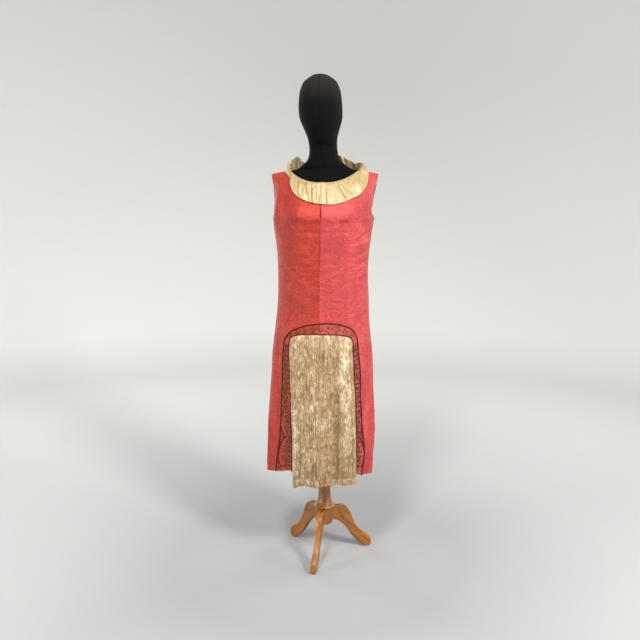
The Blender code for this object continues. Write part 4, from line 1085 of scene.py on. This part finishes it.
# the limbless form inside the dress
form = {
    "sections": table("height halfWidth front back share", (
        (0.800, 0.140, 0.096, 0.102, 0.99), (0.860, 0.147, 0.103, 0.109, 0.99), (0.950, 0.140, 0.099, 0.103, 0.99),
        (1.050, 0.119, 0.088, 0.087, 0.99), (1.120, 0.121, 0.092, 0.087, 0.99), (1.200, 0.141, 0.110, 0.094, 0.98),
        (1.280, 0.176, 0.122, 0.094, 0.91),
    )),
    "plate": table("height halfWidth", (
        (1.280, 0.1602), (1.310, 0.1680), (1.350, 0.1735), (1.400, 0.1820), (1.450, 0.1870))),
    "inset": 4.0 * mm,
    "ridgeShare": 0.985,
    "ridgeNarrowing": 0.20,
    "drop": 1.83 * mm,
    "neck": table("height halfWidth front back squareness", (
        (1.4490, 0.0980, 0.0440, 0.0400, 1.3), (1.4570, 0.0850, 0.0465, 0.0530, 1.6), (1.4680, 0.0705, 0.0480, 0.0560, 1.9),
        (1.4820, 0.0580, 0.0485, 0.0560, 2.0), (1.5000, 0.0510, 0.0490, 0.0550, 2.0), (1.5268, 0.0491, 0.0510, 0.0550, 2.0),
    )),
    "jaw": 1.527,
    "head": table("height halfWidth front back", (
        (1.527, 0.0491, 0.052, 0.055), (1.549, 0.0508, 0.064, 0.058), (1.583, 0.0611, 0.080, 0.071), (1.617, 0.0732, 0.089, 0.086),
        (1.651, 0.0765, 0.092, 0.094), (1.684, 0.0745, 0.089, 0.095), (1.718, 0.0692, 0.080, 0.087), (1.751, 0.0500, 0.057, 0.062),
        (1.765, 0.0290, 0.034, 0.036),
    )),
    "top": 1.771,
    "quarterSteps": 20,
}


def halfRing(x, frontY, backY, height):
    right = np.concatenate([np.stack([x, frontY], axis=1), np.stack([x, backY], axis=1)[::-1]])
    left = right[-2:0:-1] * (-1, 1)
    ring = np.concatenate([right, left])
    return np.column_stack([ring[:, 0] + lean(np.array(height)), ring[:, 1], np.full(len(ring), height)])


def plainRing(halfWidth, front, back, share, squareness, height):
    steps = np.sin(np.linspace(0, math.pi / 2, form["quarterSteps"] + 1)) * share
    depth = (1 - steps**squareness) ** (1 / squareness)
    return halfRing(steps * halfWidth, -front * depth, back * depth, height)


def measured(rows, columns, height):
    return (float(smooth(rows, "height", column, np.array(height))) for column in columns.split())


def shoulderRing(height):
    ridge = dress["tipX"] - (height + form["drop"] - dress["tipHeight"]) / dress["shoulderSlope"]
    halfWidth = min(*measured(form["plate"], "halfWidth", height), ridge * form["ridgeShare"])
    x = np.sin(np.linspace(0, math.pi / 2, form["quarterSteps"] + 1)) * halfWidth
    rise = np.clip((height - dress["underarm"]) / (ridgeHeight(x) - form["drop"] - dress["underarm"]), 0, 1)
    section = smooth(dress["armhole"], "turn", "section", np.degrees(np.arcsin(rise))) - form["inset"]
    depth = sectionDepth(x / section)
    reach = np.sqrt(1 - rise**2) * (1 - form["ridgeNarrowing"] * rise**2)
    frontY = dress["seamY"] - (form["sections"]["front"][-1] * depth + dress["seamY"]) * reach
    backY = dress["seamY"] + (form["sections"]["back"][-1] * depth - dress["seamY"]) * reach
    return halfRing(x, frontY, backY, height)


def formTorso():
    rings = []
    for height in np.linspace(0.800, 1.265, 36):
        halfWidth, front, back, share = measured(form["sections"], "halfWidth front back share", height)
        rings.append(plainRing(halfWidth, front, back, share, dress["squareness"], float(height)))
    rings += [shoulderRing(float(h)) for h in np.concatenate([np.linspace(1.280, 1.425, 16), (1.4325, 1.438, 1.443)])]
    for height in np.concatenate([np.linspace(1.4490, 1.5000, 12), (1.514, 1.5268)]):
        halfWidth, front, back, squareness = measured(form["neck"], "halfWidth front back squareness", height)
        rings.append(plainRing(halfWidth, front, back, 0.99, squareness, float(height)))
    return skin("formTorso", rings)


def formHead():
    rings, low, crown = [], form["jaw"] + dress["seamGap"], form["head"]["height"][-1]
    for step in range(34):
        height = low + (form["top"] - 1.5 * mm - low) * math.sin(step / 33 * math.pi / 2)
        shrink = math.sqrt(max(0.0, (form["top"] - height) / (form["top"] - crown))) if height > crown else 1
        sizes = measured(form["head"], "halfWidth front back", height)
        rings.append(plainRing(*(size * shrink for size in sizes), 0.99, 2.0, height))
    return skin("formHead", rings, (float(lean(np.array(form["top"]))), 0.0, form["top"]))


torso = formTorso()
head = formHead()
finished(torso, blackJersey)
finished(head, blackJersey)
print("form made")


# the turned column and its three legs
stand = {
    "columnX": 0.008,
    "sides": 64,
    "profile": (  # radius and height
        (0.0120, 0.1150), (0.0240, 0.1185), (0.0320, 0.1270), (0.0350, 0.1400), (0.0350, 0.1850), (0.0380, 0.1880),
        (0.0400, 0.1910), (0.0375, 0.1945), (0.0330, 0.2000), (0.0275, 0.2080), (0.0240, 0.2200), (0.0225, 0.2350),
    ),
    "legTurns": {"legFront": -8.5, "legRight": 111.5, "legLeft": 228.5},
    "legThickness": 0.020,
    "legRound": 4.0 * mm,
    "hubRadius": 0.0353,
    "legTop": ((0.030, 0.1835), (0.052, 0.1840), (0.072, 0.1830), (0.088, 0.1740), (0.101, 0.1530), (0.112, 0.1240),
               (0.125, 0.0950), (0.145, 0.0690), (0.170, 0.0500), (0.184, 0.0370), (0.1895, 0.0200), (0.187, 0.0060)),
    "legUnder": ((0.184, 0.0000), (0.162, 0.0000), (0.148, 0.0130), (0.126, 0.0330), (0.104, 0.0610), (0.087, 0.0880),
                 (0.068, 0.1090), (0.048, 0.1240), (0.030, 0.1310)),
}


def through(points, count):
    points = np.array(points, float)
    rows = {"along": np.arange(len(points), dtype=float), "reach": points[:, 0], "height": points[:, 1]}
    at = np.linspace(0, len(points) - 1, count)
    return np.column_stack([smooth(rows, "along", "reach", at), smooth(rows, "along", "height", at)])


def pointsOf(mesh):
    points = np.zeros(len(mesh.vertices) * 3)
    mesh.vertices.foreach_get("co", points)
    return points.reshape(-1, 3)


def standColumn():
    profile = list(map(tuple, through(stand["profile"][:4], 14))) + [(0.0350, 0.1620), (0.0350, 0.1845)]
    profile += list(map(tuple, through(stand["profile"][4:], 40)))[1:] + [(0.0225, 0.50), (0.0225, 0.7997)]
    turns = np.linspace(0, 2 * math.pi, stand["sides"], endpoint=False)
    level, middle = 0 * turns, stand["columnX"]
    rings = [np.column_stack([middle + r * np.cos(turns), r * np.sin(turns), z + level]) for r, z in profile]
    made = skin("standColumn", rings)
    attach(made.data, "grain", "FLOAT_VECTOR", pointsOf(made.data)[:, (2, 0, 1)])
    return made


def standLeg(name, turn):
    under = stand["legUnder"]
    outline = np.concatenate([through(stand["legTop"], 60), under[:2], through(under[1:], 40)[1:]])
    board = bmesh.new()
    half = stand["legThickness"] / 2
    corners = [board.verts.new((r, -half, z)) for r, z in outline]
    made = bmesh.ops.extrude_face_region(board, geom=[board.faces.new(corners)])
    moved = [v for v in made["geom"] if isinstance(v, bmesh.types.BMVert)]
    bmesh.ops.translate(board, verts=moved, vec=(0, 2 * half, 0))
    bmesh.ops.recalc_face_normals(board, faces=board.faces)
    mesh = bpy.data.meshes.new(name)
    board.to_mesh(mesh)
    board.free()
    leg = objectFrom(name, mesh)
    rounded = leg.modifiers.new("rounded", "BEVEL")
    rounded.width, rounded.segments = stand["legRound"], 4
    rounded.limit_method, rounded.angle_limit = "ANGLE", math.radians(60)
    drum = bpy.data.meshes.new("hubSeat")
    cutter = bmesh.new()
    radius = stand["hubRadius"]
    bmesh.ops.create_cone(cutter, cap_ends=True, segments=96, radius1=radius, radius2=radius, depth=0.2)
    bmesh.ops.translate(cutter, verts=cutter.verts, vec=(0, 0, 0.15))
    cutter.to_mesh(drum)
    cutter.free()
    seat = objectFrom("hubSeat", drum)
    cut = leg.modifiers.new("seat", "BOOLEAN")
    cut.object, cut.operation = seat, "DIFFERENCE"
    bpy.context.view_layer.update()
    final = bpy.data.meshes.new_from_object(leg.evaluated_get(bpy.context.evaluated_depsgraph_get()))
    leg.modifiers.clear()
    bpy.data.objects.remove(seat)
    leg.data = final
    points = pointsOf(final)
    slope = 1 / math.sqrt(2)  # the grain runs down the leg at 45 degrees
    reach, side, high = points.T
    grain = np.column_stack([(reach - high) * slope + turn, (reach + high) * slope, side])
    attach(final, "grain", "FLOAT_VECTOR", grain)
    a = math.radians(turn - 90)
    x, y = reach * math.cos(a) - side * math.sin(a), reach * math.sin(a) + side * math.cos(a)
    points = placed(np.column_stack([x + stand["columnX"], y, high]))
    final.vertices.foreach_set("co", points.ravel())
    final.update()
    final.shade_smooth()
    final.set_sharp_from_angle(angle=math.radians(35))
    return leg


column = standColumn()
legs = [standLeg(name, turn) for name, turn in stand["legTurns"].items()]
for piece in (column, *legs):
    finished(piece, waxedWood)
print("stand made")


# stitches are grown along paths and over patches
def newTree(name, inputs):
    tree = bpy.data.node_groups.new(name, "GeometryNodeTree")
    for title, kind in inputs:
        tree.interface.new_socket(name=title, in_out="INPUT", socket_type="NodeSocket" + kind)
    tree.interface.new_socket(name="result", in_out="OUTPUT", socket_type="NodeSocketGeometry")
    board = Board(tree)
    return tree, board, board.node("NodeGroupInput")


def threadOn(board, given, places, rotation, size):
    # a short rounded stitch of few faces at each place, made real and given its thread
    grain = board.node("GeometryNodeMeshIcoSphere", {}, {"Radius": 0.5, "Subdivisions": 1})
    sizes = {"X": given.also("length"), "Y": given.also("width"), "Z": given.also("thickness")}
    shape = board.node("ShaderNodeCombineXYZ", {}, sizes)
    grain = board.node("GeometryNodeTransform", {}, {"Geometry": grain, "Scale": shape})
    grain = board.node("GeometryNodeSetShadeSmooth", {}, {"Geometry": grain})
    spread = board.node("GeometryNodeInstanceOnPoints", {}, {
        "Points": places, "Instance": grain, "Rotation": rotation, "Scale": size})
    real = board.node("GeometryNodeRealizeInstances", {}, {"Geometry": spread})
    dyed = board.node("GeometryNodeSetMaterial", {}, {"Geometry": real, "Material": given.also("thread")})
    board.node("NodeGroupOutput", {}, {"result": dyed})


def chance(board, given, low, high, shift):
    # a seeded number for each stitch
    values = {2: low, 3: high, "Seed": given.also("seed") + shift}
    return board.node("FunctionNodeRandomValue", {"data_type": "FLOAT"}, values, 1)


def turnedBy(board, rotation, angle):
    around = board.node("FunctionNodeEulerToRotation", {}, {0: board.node("ShaderNodeCombineXYZ", {}, {"Z": angle})})
    return board.node("FunctionNodeRotateRotation", {"rotation_space": "LOCAL"}, {0: rotation, 1: around})


def stitchOf(length, width, thickness, spacing, slant, uneven):
    # one kind of stitch: four sizes in mm, and how it turns from its row, in radians
    return {"length": length * mm, "width": width * mm, "thickness": thickness * mm, "spacing": spacing * mm,
            "slant": slant, "uneven": uneven}


stitchInputs = (
    ("path", "Geometry"), *((title, "Float") for title in stitchOf(0, 0, 0, 0, 0, 0)),
    ("seed", "Int"), ("thread", "Material"))


def rowTree():
    tree, board, given = newTree("stitchRow", stitchInputs)
    path = board.node("GeometryNodeMeshToCurve", {}, {"Mesh": given.also("path")})
    spaced = {"Curve": path, "Length": given.also("spacing")}
    path = board.node("GeometryNodeResampleCurve", {"mode": "LENGTH"}, spaced)
    facing = board.node("GeometryNodeInputNamedAttribute", {"data_type": "FLOAT_VECTOR"}, {"Name": "facing"})
    tangent = board.node("GeometryNodeInputTangent")
    axes = {"primary_axis": "Z", "secondary_axis": "X"}
    lying = board.node("FunctionNodeAxesToRotation", axes, {0: facing, 1: tangent})
    wander, size = chance(board, given, -1.0, 1.0, 0), chance(board, given, 0.82, 1.12, 7)
    threadOn(board, given, path, turnedBy(board, lying, given.also("slant") + wander * given.also("uneven")), size)
    return tree


def scatterTree():
    tree, board, given = newTree("scatteredStitches", stitchInputs)
    density = board.node("GeometryNodeInputNamedAttribute", {"data_type": "FLOAT"}, {"Name": "density"})
    places = board.node("GeometryNodeDistributePointsOnFaces", {"distribute_method": "POISSON"}, {
        "Mesh": given.also("path"), "Distance Min": given.also("spacing"), "Density Factor": density,
        "Density Max": 1.1 / given.also("spacing") ** 2, "Seed": given.also("seed")})
    wander, size = chance(board, given, -1.0, 1.0, 3), chance(board, given, 0.7, 1.2, 7)
    lying = turnedBy(board, places.also("Rotation"), given.also("slant") + wander * given.also("uneven"))
    threadOn(board, given, places, lying, size)
    return tree


def grown(name, mesh, tree, values):
    # runs a tree on a mesh and keeps the plain result
    base = objectFrom(name + "Base", mesh)
    modifier = base.modifiers.new("stitches", "NODES")
    modifier.node_group = tree
    sockets = {i.name: i.identifier for i in tree.interface.items_tree if i.in_out == "INPUT"}
    for title, value in values.items():
        modifier[sockets[title]] = value
    bpy.context.view_layer.update()
    made = bpy.data.meshes.new_from_object(base.evaluated_get(bpy.context.evaluated_depsgraph_get()))
    base.modifiers.clear()
    bpy.data.objects.remove(base)
    made.name = name
    print(name, len(made.polygons), "faces")
    return objectFrom(name, made)


def pathMesh(name, paths):
    # loose polylines, each a pair of points and the directions that they face
    mesh = bpy.data.meshes.new(name)
    points = np.concatenate([path for path, _ in paths])
    edges, start = [], 0
    for path, _ in paths:
        edges += [(start + i, start + i + 1) for i in range(len(path) - 1)]
        start += len(path)
    mesh.from_pydata(placed(points).tolist(), edges, [])
    attach(mesh, "facing", "FLOAT_VECTOR", np.concatenate([facing for _, facing in paths]))
    return mesh


def patchMesh(name, points, density):
    # an open sheet that stitches are scattered on, facing outwards
    rows, columns = points.shape[:2]
    faces = [(i * columns + j, i * columns + j + 1, (i + 1) * columns + j + 1, (i + 1) * columns + j)
             for i in range(rows - 1) for j in range(columns - 1)]
    mesh = bpy.data.meshes.new(name)
    mesh.from_pydata(placed(points.reshape(-1, 3)).tolist(), [], faces)
    attach(mesh, "density", "FLOAT", density)
    return mesh


rows, scatter = rowTree(), scatterTree()


def sewnAlong(name, paths, kind, seed, thread):
    return grown(name, pathMesh(name, paths), rows, {**kind, "seed": seed, "thread": thread})


# the embroidered border, in a scroll layout of its own
embroidery = {
    "stitch": stitchOf(3.8, 2.6, 1.2, 2.2, 0.30, 0.12),
    "fine": stitchOf(3.0, 1.9, 0.9, 2.0, 0.3, 0.15),
    "filling": stitchOf(4.2, 1.7, 0.7, 2.6, 0.6, 0.9),
    "lift": 0.2 * mm,
    "lineGap": 1.6 * mm,
    "outlineRows": ((0.0, 0), (0.0, 1), (1.0, 0.5), (1.0, -0.5), (1.0, -1.5)),  # which rail, and how far beside it
    "topWave": 0.052, "sideWave": 0.034,
    "topScroll": 0.0095, "sideScroll": 0.0062,
    "turns": 1.6,
}


def onFront(x, z, lift):
    # the place on the front halves at a distance across and a height, and the way that it faces
    x, z = np.array(x, float), np.array(z, float)
    side = np.where(x < 0, -1.0, 1.0)
    halfWidth = smooth(dress["sections"], "height", "halfWidth", z)
    turn = side * turnOf(np.abs(x) / halfWidth)
    for _ in range(4):
        turn = side * turnOf(np.abs(x) / (halfWidth + hemFold(turn, z)))
    base = bodyPoint(turn, z)
    normal = normalsOf(bodyPoint, turn, z, (-1.5, 1.5), (dress["sections"]["height"][0], dress["underarm"]))
    normal = np.where(normal[..., 1:2] > 0, -normal, normal)
    ease = np.where(side > 0, frontEase(base, 1), frontEase(base, -1))
    return base + normal * (dressRelief(base, True) * ease + lift)[..., None], normal


def alongPath(x, z, count):
    # a smooth path through points, in steps of equal length
    run = np.concatenate([[0], np.cumsum(np.hypot(np.diff(x), np.diff(z)))])
    values = {"run": run, "x": np.array(x, float), "z": np.array(z, float)}
    at = np.linspace(0, run[-1], count)
    return np.column_stack([smooth(values, "run", "x", at), smooth(values, "run", "z", at)])


def openingEdge(side, count):
    z = np.linspace(hemHeight(turnOf(np.array(0.60))) + 0.003, dress["archSpring"], count)
    return np.column_stack([side * (edgeAcross(z, side) + border["edgeGap"]), z])


def beside(path, distance):
    # a path moved sideways, to the left of the way that it runs
    along = np.gradient(path, axis=0)
    return path + distance * unit(np.column_stack([-along[:, 1], along[:, 0]]))


def borderRails(count=240):
    # the border's inner and outer rail, from the left hem over the arch to the right hem
    steps = archSteps(60)
    high = archHeight(steps)
    left = np.column_stack([-steps * edgeAcross(high, -1), high])[::-1]
    right = np.column_stack([steps * edgeAcross(high, 1), high])[1:]
    arch = beside(np.concatenate([left, right]), border["edgeGap"])
    left, top, right = (np.column_stack([border[k]["across"], border[k]["height"]]) for k in ("left", "top", "right"))
    inner = (openingEdge(-1, 40), arch, openingEdge(1, 40)[::-1])
    outer = (left * (-1, 1), top, right[::-1])
    return [[alongPath(*path.T, count) for path in paths] for paths in (inner, outer)]


innerRails, outerRails = borderRails()


def inBorder(part, along, across):
    # part 0 is the left side, 1 the arch and 2 the right side; along and across go from 0 to 1
    at = np.clip(along, 0, 1) * (len(innerRails[part]) - 1)
    index = np.arange(len(innerRails[part]))
    inner, outer = (
        np.column_stack([np.interp(at, index, rail[part][:, k]) for k in (0, 1)]) for rail in (innerRails, outerRails))
    across = np.reshape(across, (-1, 1)) if np.ndim(across) else across
    return inner * (1 - across) + outer * across


def spiral(centre, radius, start, hand, turns, count=30):
    share = np.linspace(0, 1, count)
    angle = start + hand * share * turns * 2 * math.pi
    reach = radius * (1 - 0.86 * share**0.9)
    return centre + np.column_stack([np.cos(angle), np.sin(angle)]) * reach[:, None]


def vine(part, length, wave, low, high, radius, first=0.0, last=1.0):
    # a waved stem with a scroll curling into each hollow and a short tendril opposite
    found = []
    count = int(round(length * (last - first) / wave * 2))
    share = np.linspace(first, last, count * 14 + 1)
    phase = (share - first) / (last - first) * count * math.pi
    middleLine, swing = (low + high) / 2, (high - low) / 2
    found.append(inBorder(part, share, middleLine + swing * np.sin(phase)))
    for n in range(count):
        at = first + (n + 0.5) / count * (last - first)
        up = 1 if n % 2 == 0 else -1
        centre = inBorder(part, np.array([at]), middleLine - up * swing * 0.42)[0]
        run = np.diff(inBorder(part, np.array([max(at - 0.02, 0), min(at + 0.02, 1)]), middleLine), axis=0)[0]
        heading = math.atan2(run[1], run[0])
        size = radius * (0.88 + 0.2 * math.sin(n * 2.3))
        found.append(spiral(centre, size, heading + up * 1.9, -up, embroidery["turns"]))
        crest = inBorder(part, np.array([at]), middleLine + up * swing)[0]
        away = inBorder(part, np.array([at]), middleLine + up * (swing + 0.2))[0] - crest
        tip = crest + away + 0.25 * radius * np.array([math.cos(heading), math.sin(heading)])
        found.append(np.linspace(crest, tip, 6))
    return found


def embroidered():
    made, share = [], np.linspace(0, 1, 200)
    outline = [beside(inBorder(part, share, across), shift * embroidery["lineGap"])
               for part in range(3) for across, shift in embroidery["outlineRows"]]
    scrolls = vine(1, 0.27, embroidery["topWave"], 0.24, 0.78, embroidery["topScroll"], 0.06, 0.94)
    for part, side in ((0, -1), (2, 1)):
        upper = (0.50, 0.99) if part == 0 else (0.01, 0.50)
        scrolls += vine(part, 0.48, embroidery["sideWave"], 0.22, 0.76, embroidery["sideScroll"], *upper)
        lower = (0.03, 0.49) if part == 0 else (0.51, 0.97)
        scrolls += vine(part, 0.48, embroidery["sideWave"] * 1.1, 0.10, 0.50, embroidery["sideScroll"], *lower)
        z = np.linspace(border["cusps"][0] + 0.004, border["cusps"][-1] + 0.012, 140)
        for inset in (0.0, 0.05):
            across = edgeAcross(z, side) + (lobeShare(z) - inset) * (outerAcross(z, side) - edgeAcross(z, side))
            outline.append(np.column_stack([side * across, z]))
    for name, paths, kind, seed in (("borderLines", outline, "stitch", 3), ("borderScrolls", scrolls, "fine", 5)):
        laid = [onFront(*path.T, embroidery["lift"]) for path in paths]
        made.append(sewnAlong(name, laid, embroidery[kind], seed, brownThread))
    for name, side, seed in (("borderFillLeft", -1, 8), ("borderFillRight", 1, 9)):
        down, across = np.meshgrid(np.linspace(0, 1, 120), np.linspace(0.04, 0.96, 16), indexing="ij")
        top = border["left"]["height"][-1]
        hem = hemHeight(turnOf(0.60 + 0.2 * across)) + 0.004
        z = top + (hem - top) * down
        x = side * (edgeAcross(z, side) + across * (outerAcross(z, side) - edgeAcross(z, side)))
        points, _ = onFront(x, z, embroidery["lift"])
        if side < 0:
            points, x, z = points[:, ::-1], x[:, ::-1], z[:, ::-1]
        mesh = patchMesh(name, points, workedShare(x, z))
        made.append(grown(name, mesh, scatter, {**embroidery["filling"], "seed": seed, "thread": oliveThread}))
    return made


needlework = embroidered()
print("border embroidered")


# sewing that shows along seams and hems
sewing = {
    "hem": stitchOf(2.6, 0.5, 0.4, 4.6, 0.0, 0.05),
    "edge": stitchOf(1.8, 0.5, 0.4, 2.6, 0.7, 0.1),
    "lift": 0.05 * mm,
}


def rowAt(face, normal, pick):
    return face[pick] + normal[pick] * sewing["lift"], normal[pick]


def sewn():
    upper, middleCount, inner = dress["upperRows"], dress["middleRows"], len(frontSteps()) - 1
    every, top = slice(None), slice(0, upper + middleCount)
    near = rightFace[top, 0] * 0.6 + rightFace[top, 1] * 0.4 + rightNormal[top, 0] * sewing["lift"]
    dressRows = [(near, rightNormal[top, 0]), rowAt(backFace, backNormal, (-4, every)),
                 rowAt(rightFace, rightNormal, (every, -3)), rowAt(leftFace, leftNormal, (every, -3))]
    for face, normal in ((rightFace, rightNormal), (leftFace, leftNormal)):
        dressRows.append(rowAt(face, normal, (-4, slice(inner + 1, None))))
    sides = ((rightFace, rightNormal), (leftFace, leftNormal), (backFace, backNormal))
    neat = [rowAt(face, normal, (1, every)) for face, normal in sides]
    rim = np.arange(collar["columns"] + 1) % collar["columns"]
    return [
        sewnAlong("hemStitches", dressRows, sewing["hem"], 21, coralThread),
        sewnAlong("edgeStitches", neat, sewing["edge"], 22, coralThread),
        sewnAlong("panelStitches", [rowAt(lameFace, lameNormal, (-6, every))], sewing["hem"], 23, goldThread),
        sewnAlong("collarStitches", [rowAt(bandFace, bandNormal, (-2, rim))], sewing["edge"], 24, creamThread),
    ]


seamwork = sewn()
print("seams sewn")


# lint on the jersey, above the dress alone
lint = {
    "above": 1.45,
    "fibre": stitchOf(2.4, 0.22, 0.22, 9, 0.0, 3.1),
}


def linted(name, carrier, seed):
    mesh = carrier.data.copy()
    attach(mesh, "density", "FLOAT", pointsOf(mesh)[:, 2] > lint["above"])
    return grown(name, mesh, scatter, {**lint["fibre"], "seed": seed, "thread": lintFibre})


headLint = linted("headLint", head, 41)
neckLint = linted("neckLint", torso, 42)
print("lint laid")


# each piece rides on the one body and stands for its solid
for piece, node, slotName in (
    (frontRight, "dress_front_right", "coral_silk"), (frontLeft, "dress_front_left", "coral_silk"),
    (back, "dress_back", "coral_silk"), (lame, "lame_panel", "gold_lame"), (band, "collar", "cream_lame"),
    (torso, "form_torso", "black_jersey"), (head, "form_head", "black_jersey"), (column, "stand_column", "waxed_wood"),
    (legs[0], "leg_front", "waxed_wood"), (legs[1], "leg_right", "waxed_wood"), (legs[2], "leg_left", "waxed_wood"),
):
    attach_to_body(piece, "root")
    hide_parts(node)

for piece, slotName in (
    *((sewnOn, "coral_silk") for sewnOn in (*needlework, *seamwork[:2])), (seamwork[2], "gold_lame"),
    (seamwork[3], "cream_lame"), (headLint, "black_jersey"), (neckLint, "black_jersey"),
):
    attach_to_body(piece, "root")

print("pieces tied to the frame")


# the photograph's view
camera = {
    "height": 1.385, "distance": 2.62, "pitch": 10.3, "azimuth": 5.0, "sideways": -0.009, "pixels": 728, "frame": 640}
eye = objectFrom("camera", bpy.data.cameras.new("camera"))
eye.data.sensor_width, eye.data.lens = 36.0, 36.0 * camera["pixels"] / camera["frame"]
a = math.radians(camera["azimuth"])
eye.location = (
    camera["distance"] * math.sin(a) + camera["sideways"] * math.cos(a) + middle[0],
    -camera["distance"] * math.cos(a) + camera["sideways"] * math.sin(a) + middle[1],
    camera["height"])
eye.rotation_euler = (math.radians(90 - camera["pitch"]), 0, a)
eye.data.clip_start = 0.05
bpy.context.scene.camera = eye

# a plain pale studio
studio = {
    "floorRadius": 3.0, "wallRadius": 4.6, "height": 5.0, "shadedFloorTone": (141, 141, 140), "wallTone": (242, 242, 240),
    "lamps": (  # name, place, aim height, size, spread in degrees, watts
        ("keyLamp", (1.9, -1.9, 2.7), 0.80, 0.6, 80, 25), ("topLamp", (-0.5, -2.2, 3.6), 0.80, 0.6, 80, 22),
        ("leftLamp", (-2.8, -1.5, 0.8), 0.45, 1.2, 80, 16), ("rightLamp", (2.9, -1.2, 0.9), 0.50, 1.2, 90, 14),
        ("backLeftLamp", (-2.7, 2.6, 1.8), 0.9, 1.4, 100, 17), ("backRightLamp", (2.7, 2.4, 2.2), 0.9, 1.4, 100, 17),
    ),
    "sky": 0.72,
}


def backdrop():
    # a round seamless backdrop, the same from every side
    turns = np.linspace(0, 2 * math.pi, 96, endpoint=False)
    bend = np.linspace(0, math.pi / 2, 24)
    rise = studio["wallRadius"] - studio["floorRadius"]
    profile = [(0.8, 0.0), (1.8, 0.0)]
    profile += [(studio["floorRadius"] + rise * math.sin(b), rise * (1 - math.cos(b))) for b in bend]
    profile += [(studio["wallRadius"], studio["height"])]
    mesh = bpy.data.meshes.new("backdrop")
    points = [(r * math.cos(t), r * math.sin(t), z) for r, z in profile for t in turns]
    count = len(turns)
    faces = [tuple(range(count))]
    for i in range(len(profile) - 1):
        for j in range(count):
            k = (j + 1) % count
            faces.append((i * count + j, (i + 1) * count + j, (i + 1) * count + k, i * count + k))
    mesh.from_pydata(points, [], faces)
    mesh.shade_smooth()
    return objectFrom("backdrop", mesh)


def paperFinish():
    material, board = newFinish("paleBackdrop")
    place = board.place()
    axes = board.axes(place)
    reach = (axes * axes + axes.also("Y") * axes.also("Y")) ** 0.5
    # painted shade: the floor is darker towards the middle and fades out to the pale wall
    floorShadeFade = board.calc("ADD", (reach - 0.6) / 3.2, 0.04 * board.noise(place, 1.2, 2.0), clamp=True)
    color = board.blend(floorShadeFade, rgb(*studio["shadedFloorTone"]), rgb(*studio["wallTone"]))
    surface(board, {"Base Color": color, "Roughness": 0.9, "Specular IOR Level": 0.1})
    return material


stage = backdrop()
finished(stage, paperFinish())
for name, place, aim, size, spread, watts in studio["lamps"]:
    lamp = objectFrom(name, bpy.data.lights.new(name, "AREA"))
    lamp.data.energy, lamp.data.size, lamp.data.spread = watts, size, math.radians(spread)
    lamp.location = place
    lamp.rotation_euler = (Vector((0, 0, aim)) - lamp.location).to_track_quat("-Z", "Y").to_euler()
    lamp.visible_camera = False
world = bpy.data.worlds.new("studio")
world.use_nodes = True
world.node_tree.nodes["Background"].inputs["Color"].default_value = (1.0, 1.0, 1.0, 1.0)
world.node_tree.nodes["Background"].inputs["Strength"].default_value = studio["sky"]
bpy.context.scene.world = world
bpy.context.scene.view_settings.view_transform = "Standard"
print("studio lit")
